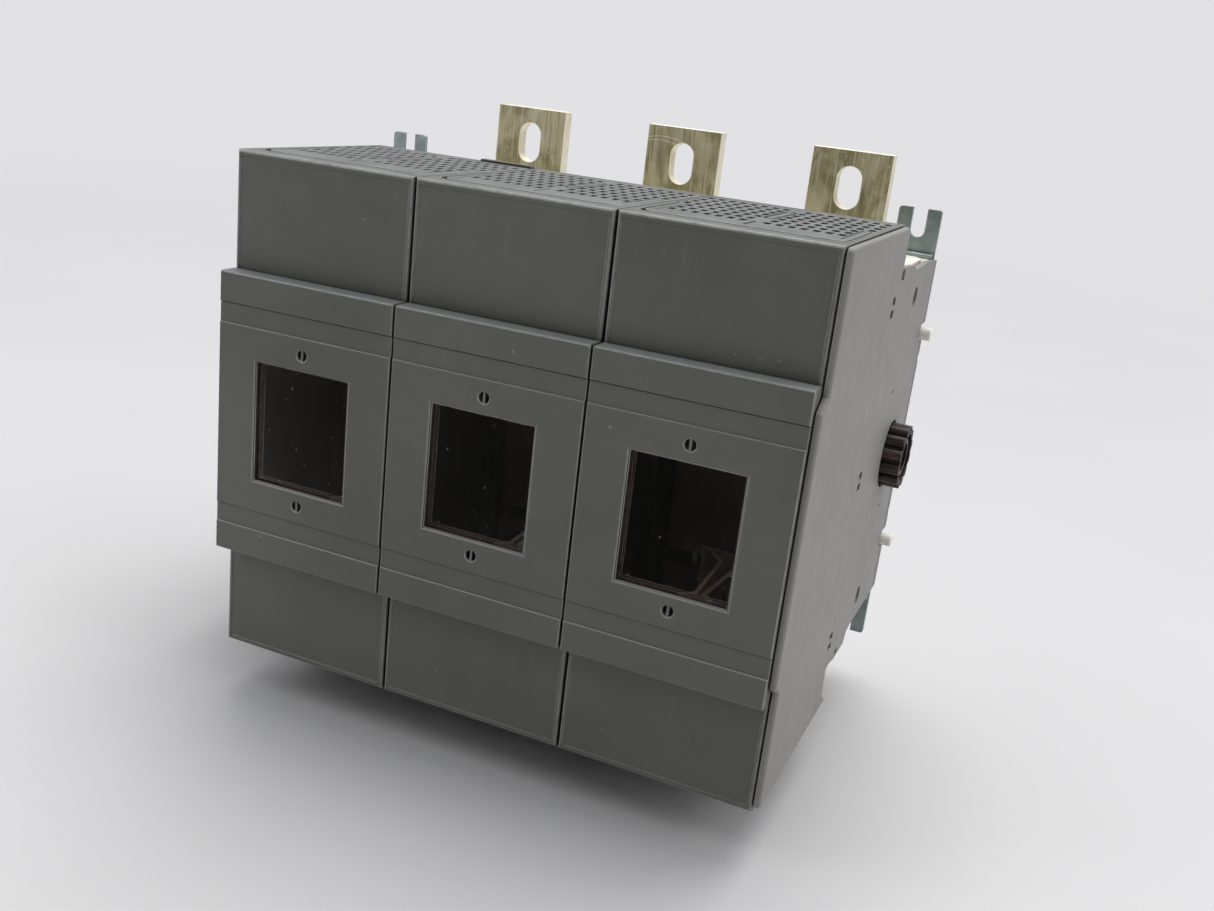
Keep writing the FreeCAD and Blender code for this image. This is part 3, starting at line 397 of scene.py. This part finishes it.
def scribe_arcs(mat, color, pole_x, arcs):
    """Bright arcs, each given as (centre x, centre z, radius), kept to their upper part."""
    x, y, z = mat.position
    for cx, cz, radius in arcs:
        ring = abs(mat.length(x - cx, z - cz) - radius).step(0.00034, 0.00012)
        keep = (z.step(cz + radius * 0.55, cz + radius * 0.70)
                * x.step(pole_x + 0.006, pole_x + 0.001))
        color = mat.mix(ring * keep * 0.9, color, (0.86, 0.84, 0.72))
    return color


def scribe_line(mat, color, pole_x):
    """A bright upright line near the top of the bar."""
    x, y, z = mat.position
    line = abs(x - (pole_x + 0.0012)).step(0.00028, 0.0001)
    return mat.mix(line * z.step(0.155, 0.160) * 0.85, color, (0.80, 0.78, 0.68))


def terminal(name, pole_x, seed, arcs=None, line=False):
    """Tarnished plated copper bar: olive flat faces, pale bare cut sides and slot walls."""
    mat = Material(name)
    rounded = mat.bevel(0.0005)
    ao = mat.occlusion(0.004)
    place = mat.mapped(shift=(seed, seed * 0.37, seed * 0.71))
    edge_wear_and_highlight = mat.edge(rounded) * ao.step(0.7, 0.97)
    streaks = mat.noise(1, detail=5, rough=0.66, warp=0.2,
                        vector=mat.mapped((620, 620, 22), source=place))
    bands = mat.noise(1, detail=5, rough=0.62, warp=0.8,
                      vector=mat.mapped((62, 62, 30), source=place))
    cloud = mat.noise(60, detail=5, rough=0.62, warp=0.9, vector=place)

    olive = mat.mix(bands.step(0.38, 0.62), (0.33, 0.292, 0.155), (0.60, 0.553, 0.36))
    olive = mat.mix(streaks.step(0.54, 0.72) * 0.75, olive, (0.90, 0.84, 0.62))
    olive = mat.mix(streaks.step(0.47, 0.33) * 0.70, olive, (0.20, 0.170, 0.090))
    olive = mat.mix(cloud.step(0.55, 0.72) * 0.55, olive, (0.62, 0.62, 0.54))
    # pitted wear where washers and tools rubbed
    distance, _ = mat.cells(620, mat.mapped((1, 1, 0.6), source=place))
    patches = (mat.noise(75, detail=3, rough=0.6, vector=place).step(0.56, 0.66)
               * mat.noise(300, detail=2, rough=0.5, vector=place).step(0.48, 0.58))
    pits = distance.step(0.42, 0.22) * patches
    olive = mat.mix(pits * 0.85, olive, (0.66, 0.62, 0.47))
    if arcs:
        olive = scribe_arcs(mat, olive, pole_x, arcs)
    if line:
        olive = scribe_line(mat, olive, pole_x)

    pale = mat.mix(mat.noise(140, detail=3, rough=0.6, vector=place).step(0.35, 0.7),
                   (0.86, 0.80, 0.60), (0.93, 0.88, 0.74))
    flat = abs(mat.normal[1]).step(0.80, 0.97)
    color = mat.mix(flat, pale, olive)
    # lighter edges: wear and painted highlight
    color = mat.mix(edge_wear_and_highlight * 0.65, color, (0.80, 0.77, 0.62))
    # painted shade and dust in corners and holes
    color = mat.mix(ao.step(0.8, 0.35) * 0.5, color, (0.07, 0.06, 0.04))
    relief = streaks * 0.8 + (cloud * 0.8 + pits * 0.8)
    return mat.finish(mat.principled(
        Base_Color=color, Metallic=0.55 + flat * -0.10,
        Roughness=cloud.spread(0.30, 0.46) + (1.0 - flat) * 0.10,
        Normal=mat.bump(relief, 0.00005, rounded)))


# ---------------------------------------------------------------- single finishes
def smoked(name):
    """Smoked clear polycarbonate that dims what is behind it, with dust and wipe marks."""
    mat = Material(name)
    camera_ray = mat.node("ShaderNodeLightPath", output="Is Camera Ray")
    tint = mat.mix(camera_ray, (0.97, 0.96, 0.95), (0.78, 0.75, 0.73))
    clear = mat.node("ShaderNodeBsdfTransparent", {"Color": tint})
    gloss = mat.node("ShaderNodeBsdfGlossy", {
        "Color": (0.80, 0.78, 0.76),
        "Roughness": mat.noise(45, detail=4, rough=0.6).spread(0.06, 0.16),
        "Normal": mat.bump(mat.noise(240, detail=2, rough=0.5), 0.00001)})
    fresnel = mat.node("ShaderNodeFresnel", {"IOR": 1.50})
    body = mat.mix_shader(fresnel * 0.07, clear, gloss)

    # dust specks: cell scale, cut, radius
    dots = reduce(mat.maximum, [
        mat.speckles(scale, radius, cut, soft=0.03)
        for scale, cut, radius in ((165, 0.80, 0.095), (310, 0.88, 0.11), (90, 0.86, 0.055))])
    haze = mat.noise(30, detail=5, rough=0.66, warp=0.5).step(0.45, 0.80) * 0.004
    wave = mat.noise(1, detail=2, rough=0.5, warp=0.6,
                     vector=mat.mapped((70, 70, 18), turn=(0, 0.5, 0)))
    wipes = abs(wave - 0.5).step(0.012, 0.002) * 0.006
    facing = mat.normal[1]
    dust = mat.maximum(dots * 0.85, haze + wipes) * facing.step(-0.5, -0.9)

    # the side walls and moulded edges of the tray catch light
    side = 1.0 - abs(facing).step(0.3, 0.8)
    patches = mat.noise(120, detail=3, rough=0.6).step(0.25, 0.55, 0.35, 0.85)
    edge = mat.edge(mat.bevel(0.0007), 0.02, 0.12) * patches
    for mask, color in ((side * 0.16, (0.30, 0.255, 0.24)),
                        (edge * 0.42, (0.55, 0.50, 0.47)),
                        (dust, (0.70, 0.66, 0.62))):
        body = mat.mix_shader(mask, body, mat.node("ShaderNodeBsdfDiffuse", {"Color": color}))
    return mat.finish(body)


def coupling(name):
    """Nearly black maroon phenolic: pinkish painted highlights on the crests, chips on the end
    face.
    """
    mat = Material(name)
    rounded = mat.bevel(0.0007)
    ao = mat.occlusion(0.004)
    x, y, z = mat.position
    crest = mat.length(y + 0.057, z).step(0.0172, 0.0196)
    cloud = mat.noise(170, detail=4, rough=0.6, warp=0.5)
    color = mat.mix(cloud.step(0.35, 0.65), (0.011, 0.0055, 0.0050), (0.026, 0.0135, 0.0125))
    streaks = mat.noise(1, detail=3, rough=0.6, warp=0.3, vector=mat.mapped((60, 700, 700)))
    # painted highlight: pinkish streaks on the crests
    color = mat.mix(crest * streaks.step(0.40, 0.68) * 0.55, color, (0.135, 0.082, 0.076))
    tip = x.step(0.2109, 0.2113)
    chips = mat.noise(620, detail=3, rough=0.7).step(0.50, 0.62)
    color = mat.mix(tip * (chips * 0.65), color, (0.30, 0.215, 0.205))
    # lighter edges: wear and painted highlight
    edge_wear_and_highlight = mat.edge(rounded, 0.02, 0.16) * ao.step(0.55, 0.85)
    color = mat.mix(edge_wear_and_highlight * cloud.step(0.35, 0.60, 0.25, 0.95), color, (0.27, 0.185, 0.175))
    # painted shade in the hollows
    color = mat.mix(ao.step(0.72, 0.30) * 0.95, color, (0.0015, 0.001, 0.001))
    relief = mat.noise(900, detail=3, rough=0.6) + cloud * 0.7
    return mat.finish(mat.principled(
        Base_Color=color, Roughness=cloud.spread(0.28, 0.42) + tip * 0.25,
        Normal=mat.bump(relief, 0.00004, rounded), Specular_IOR_Level=0.42 - tip * 0.30))


def flag(name, center_x):
    """Indicator flag: a ring on the green OFF zone, a bar on the red ON zone below it."""
    mat = Material(name)
    x, y, z = mat.position
    color = mat.mix(z.step(-0.0073, -0.0077), (0.035, 0.22, 0.06), (0.42, 0.025, 0.02))
    across = x - center_x
    ring = abs(mat.length(across, z) - 0.0020).step(0.00055, 0.00035)
    bar = abs(across).step(0.00055, 0.00038) * abs(z + 0.0157).step(0.0025, 0.0023)
    mark = mat.maximum(ring, bar) * mat.normal[1].step(-0.5, -0.9)
    color = mat.mix(mark, color, (0.82, 0.82, 0.80))
    soiling = mat.noise(120, detail=4, rough=0.6).step(0.4, 0.8, 0.0, 0.18)
    color = mat.mix(soiling, color, (0.10, 0.10, 0.09))
    grain = mat.noise(1800, detail=3, rough=0.6)
    return mat.finish(mat.principled(Base_Color=color, Roughness=grain.spread(0.28, 0.42),
                                     Normal=mat.bump(grain, 0.00002, mat.bevel(0.0003))))


# ---------------------------------------------------------------- materials of the parts
COVER_GREY = (0.101, 0.104, 0.089)
# places (x, y, z) of small nicks on the front of each pole's cover
COVER_MARKS = [
    [(-0.101, -0.2691, -0.066), (-0.052, -0.2571, 0.118)],
    [(0.046, -0.2691, 0.069), (0.010, -0.2571, -0.121)],
    [(0.1535, -0.2571, 0.0865), (0.1655, -0.2571, 0.0870), (0.1745, -0.2571, 0.0875),
     (0.1190, -0.2691, 0.0595), (0.1010, -0.2691, 0.0425), (0.1480, -0.2691, 0.0585),
     (0.1115, -0.2571, -0.124)],
]
MATERIALS = {
    "window_smoke": smoked("smoked_polycarbonate"),
    "grille_grey": plastic(
        "grille_grey_moulding", (0.112, 0.114, 0.110), rough=0.46, dust=0.22, bevel=0.0007,
        edge_color=(0.50, 0.505, 0.49), gap=0.6, vents=CASE_HALF_HEIGHT, specks=0.2, mottle=0.08),
    "base_cream": plastic(
        "cream_thermoset", (0.82, 0.79, 0.69), rough=0.42, mottle=0.07, dust=0.10, scratch=0.20,
        edge_gain=1.08, specks=0.5, speck_color=(0.30, 0.26, 0.20), grain_scale=1500,
        subsurface=0.04),
    "panel_brown": plastic("brown_bay_panel", (0.250, 0.165, 0.135), rough=0.34, mottle=0.18,
                           dust=0.12, specks=0.5, edge_gain=2.0),
    "jaw_copper": steel(
        "silvered_spring_copper", (0.95, 0.83, 0.70), rough=0.34, axis="y", streak=500,
        tint=(0.78, 0.58, 0.40), grime_and_shade=0.25, metallic=0.35, edge_gain=1.2, bevel=0.0006),
    "rotor_phenolic": plastic(
        "brown_phenolic", (0.085, 0.048, 0.036), rough=0.36, mottle=0.18, dust=0.10,
        edge_gain=1.9, specks=0.4, speck_color=(0.22, 0.15, 0.11)),
    "contact_copper": steel("silvered_contact_copper", (0.76, 0.64, 0.53), rough=0.24,
                            streak=600, tint=(0.68, 0.45, 0.30), grime_and_shade=0.4),
    "arc_steel": steel("plated_arc_steel", (0.42, 0.42, 0.43), rough=0.36, axis="x", streak=700,
                       tint=(0.32, 0.31, 0.29)),
    "spring_steel": steel("bright_spring_steel", (0.62, 0.62, 0.63), rough=0.22, streak=1200,
                          metallic=0.7),
    "pin_steel": steel("ground_pin_steel", (0.52, 0.52, 0.54), rough=0.25, axis="x",
                       streak=1200),
    "shaft_steel": steel("drawn_shaft_steel", (0.44, 0.44, 0.46), rough=0.30, axis="x",
                         streak=1000, tint=(0.36, 0.35, 0.33)),
    "coupling_phenolic": coupling("maroon_black_phenolic"),
    "end_plate_grey": plastic(
        "end_plate_grey_moulding", (0.215, 0.211, 0.200), rough=0.52, mottle=0.06, dust=0.20,
        edge_gain=1.45, specks=0.5, speck_color=(0.09, 0.08, 0.07), grain=0.00003,
        rear_band=((0.114, -0.0085), (-0.106, -0.0155), (0.105, 0.100, 0.108))),
    "peg_white": plastic("off_white_nylon", (0.84, 0.82, 0.745), rough=0.36, mottle=0.05,
                         dust=0.12, edge_gain=1.12, scratch=0.15, subsurface=0.08),
    "zinc_steel": steel("bluish_zinc", (0.36, 0.43, 0.43), rough=0.34, streak=420,
                        tint=(0.27, 0.335, 0.335), edge_gain=2.4, metallic=0.75, bevel=0.0005),
    "mech_grey": plastic("mechanism_grey_moulding", COVER_GREY, dust=0.22, edge_gain=1.6,
                         specks=0.25),
    "gear_steel": steel("machined_gear_steel", (0.40, 0.40, 0.41), rough=0.33, axis="y",
                        streak=800),
    "indicator_plastic": flag("indicator_flag", SLIDE_ROD_X),
}
for number, (pole_x, marks) in enumerate(zip(POLE_X, COVER_MARKS), 1):
    MATERIALS[f"cover_grey_{number}"] = plastic(
        f"cover_grey_moulding_{number}", COVER_GREY, rough=0.45, dust=0.20, bevel=0.0009,
        edge_color=(0.40, 0.405, 0.39), gap=0.92, specks=0.35, marks=marks, inside=pole_x)
for number, seed, scribes in (
        (1, 0.31, {}),
        (2, 0.77, {"arcs": [(POLE_X[1] - 0.016, 0.128, 0.036),
                            (POLE_X[1] - 0.014, 0.128, 0.0385)]}),
        (3, 1.43, {"line": True})):
    MATERIALS[f"terminal_{number}"] = terminal(
        f"tarnished_bar_{number}", POLE_X[number - 1], seed, **scribes)

# part name pattern, material; the first match holds and # is the name's last character
FINISHES = [
    ("front_cover*", "cover_grey_#"), ("fuse_door*", "cover_grey_#"),
    ("door_window*", "window_smoke"), ("*grille*", "grille_grey"),
    ("pole_base*", "base_cream"), ("fuse_bay_panel*", "panel_brown"),
    ("*jaw_[123]", "jaw_copper"), ("*terminal*", "terminal_#"),
    ("contact_rotor*", "rotor_phenolic"), ("contact_blades*", "contact_copper"),
    ("arc_plates*", "arc_steel"), ("jaw_springs", "spring_steel"),
    ("upper_spring", "spring_steel"), ("lower_spring", "spring_steel"),
    ("door_hinge_pins", "pin_steel"), ("main_shaft", "shaft_steel"),
    ("shaft_coupling", "coupling_phenolic"), ("right_end_plate", "end_plate_grey"),
    ("tie_bolts", "rotor_phenolic"), ("connector_pegs", "peg_white"),
    ("mount_brackets", "zinc_steel"), ("mechanism_housing", "mech_grey"),
    ("mechanism_cover", "mech_grey"), ("handle_hub", "rotor_phenolic"),
    ("shaft_pinion", "gear_steel"), ("drive_slide", "gear_steel"),
    ("position_indicator", "indicator_plastic"), ("case_screws", "zinc_steel"),
]
for name, part in NODES.items():
    finish = next(key for pattern, key in FINISHES if fnmatchcase(name, pattern))
    part.data.materials.clear()
    part.data.materials.append(MATERIALS[finish.replace("#", name[-1])])
    for polygon in part.data.polygons:
        polygon.material_index = 0


# ---------------------------------------------------------------- small added pieces
def add_object(name, verts, faces, material, smooth=False, outward=False):
    mesh = bpy.data.meshes.new(name)
    mesh.from_pydata(verts, [], faces)
    mesh.update()
    if outward:
        work = bmesh.new()
        work.from_mesh(mesh)
        bmesh.ops.recalc_face_normals(work, faces=work.faces)
        work.to_mesh(mesh)
        work.free()
    if smooth:
        for polygon in mesh.polygons:
            polygon.use_smooth = True
    piece = bpy.data.objects.new(name, mesh)
    bpy.context.scene.collection.objects.link(piece)
    mesh.materials.append(material)
    return piece


def add_piece(name, shape, body, material, smooth=False):
    piece = add_object(name, *shape, material, smooth)
    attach(piece, body)


def ring_frame(center_x, half_width, half_height, limb, front_y, rear_y):
    """A rectangular frame of limb width limb; the half sizes are the outer ones."""
    verts, faces = [], []
    for y in (front_y, rear_y):
        for inset in (0.0, limb):
            a, c = half_width - inset, half_height - inset
            verts += [(center_x - a, y, -c), (center_x + a, y, -c),
                      (center_x + a, y, c), (center_x - a, y, c)]
    for i in range(4):
        j = (i + 1) % 4
        faces += [(i, j, 4 + j, 4 + i), (8 + i, 12 + i, 12 + j, 8 + j),
                  (i, 8 + i, 8 + j, j), (4 + i, 4 + j, 12 + j, 12 + i)]
    return verts, faces


def lathe(center_x, center_y, profile, segments=20):
    """A closed body turned about Z from (radius, z) points, lowest first."""
    verts, faces = [], []
    for radius, z in profile:
        for k in range(segments):
            angle = 2 * math.pi * k / segments
            verts.append((center_x + radius * math.cos(angle),
                          center_y + radius * math.sin(angle), z))
    for i in range(len(profile) - 1):
        low, high = i * segments, (i + 1) * segments
        for k in range(segments):
            j = (k + 1) % segments
            faces.append((high + k, high + j, low + j, low + k))
    last = (len(profile) - 1) * segments
    faces.append(tuple(range(segments)))
    faces.append(tuple(range(last + segments - 1, last - 1, -1)))
    return verts, faces


# pale plastic for the window lips: a painted highlight along the tray's edges
RIM_HIGHLIGHT = plastic("window_rim_highlight", (0.34, 0.315, 0.30), rough=0.35, mottle=0.25, dust=0.1,
              edge_gain=1.3, bevel=0.0001, gap=0.1)
# pale plastic for the grille nubs: a painted glint
NUB_GLINT = plastic("grille_nub_glint", (0.62, 0.61, 0.58), rough=0.3, mottle=0.05, dust=0.1,
              edge_gain=1.1, bevel=0.0002, gap=0.3)
# lips of the tray window, pale as a painted highlight on its edges: outer half width, outer half
# height, limb, front y, rear y
WINDOW_LIPS = {
    "front": (0.02966, 0.03416, 0.00034, -0.26812, -0.26780),
    "rear": (0.02862, 0.03312, 0.00032, -0.26200, -0.26168),
}
NUB_OFFSET_X, NUB_Y = -0.0445, -0.2426
NUB_END = CASE_HALF_HEIGHT - 0.0004
NUB_PROFILE = [(0.0011, NUB_END - 0.0030), (0.0011, NUB_END - 0.0005), (0.0007, NUB_END)]
NUB_PROFILES = {
    "top": NUB_PROFILE,
    "bottom": [(radius, -z) for radius, z in reversed(NUB_PROFILE)],
}
for number, pole_x in enumerate(POLE_X, 1):
    for side, sizes in WINDOW_LIPS.items():
        add_piece(f"window_{side}_lip_{number}", ring_frame(pole_x, *sizes),
                  f"door_{number}", RIM_HIGHLIGHT)
    # round nub at the front left of the top and bottom grilles, pale as a painted glint
    for end, profile in NUB_PROFILES.items():
        add_piece(f"grille_nub_glint_{end}_left_{number}",
                  lathe(pole_x + NUB_OFFSET_X, NUB_Y, profile),
                  "case", NUB_GLINT, smooth=True)


# low latch lip on the rear top edge of the first cover, narrowing upwards
def lip_outline(left, right, z, front_y=-0.1262, rear_y=-0.1214):
    return [(left, front_y, z), (right, front_y, z), (right, rear_y, z), (left, rear_y, z)]


LIP_LEFT, LIP_RIGHT, LIP_TOP = -0.0585, -0.0240, 0.14465
lip_verts = (lip_outline(LIP_LEFT, LIP_RIGHT, CASE_HALF_HEIGHT)
             + lip_outline(LIP_LEFT + 0.0006, LIP_RIGHT - 0.0003, LIP_TOP))
LIP_FACES = [(3, 2, 1, 0), (4, 5, 6, 7), (0, 1, 5, 4), (1, 2, 6, 5), (2, 3, 7, 6), (3, 0, 4, 7)]
add_piece("rear_lip", (lip_verts, LIP_FACES), "case", MATERIALS["cover_grey_1"])


# ---------------------------------------------------------------- coil springs
def coil(name, node, bottom, top, turns=6, per_turn=26, sides=10,
         radius=0.0055, wire=0.00072):
    """A round-wire spring about the slide's rod axis; wire is the wire's radius."""
    steps = turns * per_turn
    verts, faces = [], []
    for i in range(steps + 1):
        angle = 2 * math.pi * i / per_turn
        t = i / steps
        # the end turns are pitched slightly wider than the middle ones
        rise = t + 0.028 * math.sin(2 * math.pi * t)
        z = bottom + wire + (top - bottom - 2 * wire) * rise
        z = min(max(z, bottom + wire), top - wire)
        for k in range(sides):
            around = 2 * math.pi * k / sides
            reach = radius + wire * math.cos(around)
            verts.append((SLIDE_ROD_X + reach * math.cos(angle),
                          SLIDE_ROD_Y + reach * math.sin(angle), z + wire * math.sin(around)))
    for i in range(steps):
        near, far = i * sides, (i + 1) * sides
        for k in range(sides):
            j = (k + 1) % sides
            faces.append((near + k, far + k, far + j, near + j))
    faces.append(tuple(range(sides)))
    faces.append(tuple(steps * sides + k for k in range(sides - 1, -1, -1)))
    spring = add_object(name, verts, faces, MATERIALS["spring_steel"], smooth=True, outward=True)
    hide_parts(node)
    return spring


# coil springs in place of the model's springs, each drawn at one fixed length; in the switch the
# upper spring is pressed together as the slide rises and the lower one opens with it
UPPER_TOP = 0.0658
upper = coil("upper_coil_spring", "upper_spring", bottom=0.0362, top=UPPER_TOP)
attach(upper, "case")
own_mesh(upper)
lower = coil("lower_coil_spring", "lower_spring", bottom=-0.0818, top=-0.0522)
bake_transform(lower)


# ---------------------------------------------------------------- floor
def sweep(name):
    """Pale paper that fades into the backdrop and is clear from below."""
    mat = Material(name)
    distance = mat.node("ShaderNodeVectorMath", {0: mat.coords}, "Value", operation="LENGTH")
    paper = mat.mix(mat.noise(2.2, detail=4, rough=0.55).spread(),
                    (0.555, 0.547, 0.549), (0.580, 0.575, 0.580))
    fibres = mat.noise(900, detail=3, rough=0.6).step(0.35, 0.65, 0.0, 0.25)
    paper = mat.mix(fibres, paper, (0.53, 0.526, 0.526))
    relief = mat.bump(mat.noise(700, detail=3, rough=0.6), 0.00008)
    near = mat.principled(Base_Color=paper, Roughness=0.62, Normal=relief,
                          Specular_IOR_Level=0.3)
    far = mat.node("ShaderNodeEmission", {"Color": BACKDROP, "Strength": 1.0})
    shader = mat.mix_shader(distance.step(1.4, 3.6), near, far)
    return mat.finish(mat.mix_shader(Value(mat, mat.geometry["Backfacing"]), shader,
                                     mat.node("ShaderNodeBsdfTransparent")))


FLOOR_RADIUS, FLOOR_GAP = 7.0, 0.0006
paper_material = sweep("pale_sweep")
disc = bmesh.new()
bmesh.ops.create_circle(disc, cap_ends=True, segments=96, radius=FLOOR_RADIUS)
floor_mesh = bpy.data.meshes.new("floor")
disc.to_mesh(floor_mesh)
disc.free()
floor = bpy.data.objects.new("floor", floor_mesh)
bpy.context.scene.collection.objects.link(floor)
floor.location = (0.0, -0.12, cad_lo.z - FLOOR_GAP)
# the paper side must face up
if floor_mesh.polygons[0].normal.z < 0:
    floor_mesh.flip_normals()
floor_mesh.materials.append(paper_material)

# ---------------------------------------------------------------- world
# light strength from the horizon to high up, and the share left towards the front (-Y)
WORLD_LOW, WORLD_TOP, WORLD_FRONT = 0.14, 1.25, 0.24
world = bpy.data.worlds.new("studio")
bpy.context.scene.world = world
sky = Graph(world)
_, sky_y, sky_z = sky.split(sky.node("ShaderNodeTexCoord", output="Generated"))
strength = sky.node("ShaderNodeMath", {0: sky_z.step(0.02, 0.75, WORLD_LOW, WORLD_TOP),
                                       1: sky_y.step(-0.75, 0.35, WORLD_FRONT, 1.0)},
                    operation="MULTIPLY")
glow = sky.node("ShaderNodeBackground", {0: (0.93, 0.95, 1.0), 1: strength})
seen = sky.node("ShaderNodeBackground", {0: BACKDROP, 1: 1.0})
camera_ray = sky.node("ShaderNodeLightPath", output="Is Camera Ray")
sky.make("ShaderNodeOutputWorld", {0: sky.mix_shader(camera_ray, glow, seen)})


# ---------------------------------------------------------------- lights
def add_light(name, kind, place, target, energy, color, **settings):
    light = bpy.data.lights.new(name, kind)
    light.energy = energy
    light.color = color
    for key, value in settings.items():
        setattr(light, key, value)
    lamp = bpy.data.objects.new(name, light)
    bpy.context.scene.collection.objects.link(lamp)
    lamp.location = place
    lamp.rotation_mode = "QUATERNION"
    lamp.rotation_quaternion = (Vector(target) - Vector(place)).to_track_quat("-Z", "Y")


add_light("key", "SUN", place=(0, 0, 0), target=(0.0, -0.40, -1.0), energy=1.85,
          color=(1.0, 0.985, 0.96), angle=math.radians(48))
add_light("fill_right", "AREA", place=(1.75, -0.30, 0.85), target=(0.15, -0.12, 0.05),
          energy=8.5, color=(1.0, 0.99, 0.97), shape="RECTANGLE", size=1.1, size_y=1.1)
add_light("fill_front_left", "AREA", place=(-0.78, -0.80, 0.58), target=(-0.10, -0.25, 0.06),
          energy=2.7, color=(0.99, 0.995, 0.98), shape="RECTANGLE", size=0.6, size_y=0.5)

# ---------------------------------------------------------------- camera
# the camera's own axes and its place
CAMERA_RIGHT = (0.90937116, 0.4013594, 0.10933766)
CAMERA_UP = (-0.21777387, 0.23538441, 0.94718991)
CAMERA_BACK = (0.35442719, -0.88515807, 0.30145739)
CAMERA_PLACE = (0.31047, -0.80090, 0.20728)
lens = bpy.data.cameras.new("camera")
lens.sensor_fit = "HORIZONTAL"
lens.sensor_width = 36.0
lens.lens = 36.878
lens.shift_x = 0.006138
lens.shift_y = 0.002074
lens.clip_start, lens.clip_end = 0.01, 50.0
camera = bpy.data.objects.new("camera", lens)
bpy.context.scene.collection.objects.link(camera)
pose = Matrix((CAMERA_RIGHT, CAMERA_UP, CAMERA_BACK)).transposed().to_4x4()
pose.translation = CAMERA_PLACE
camera.matrix_world = pose
bpy.context.scene.camera = camera

view = bpy.context.scene.view_settings
view.view_transform = "Standard"
view.look = "None"
view.exposure = 0.0
view.gamma = 1.0
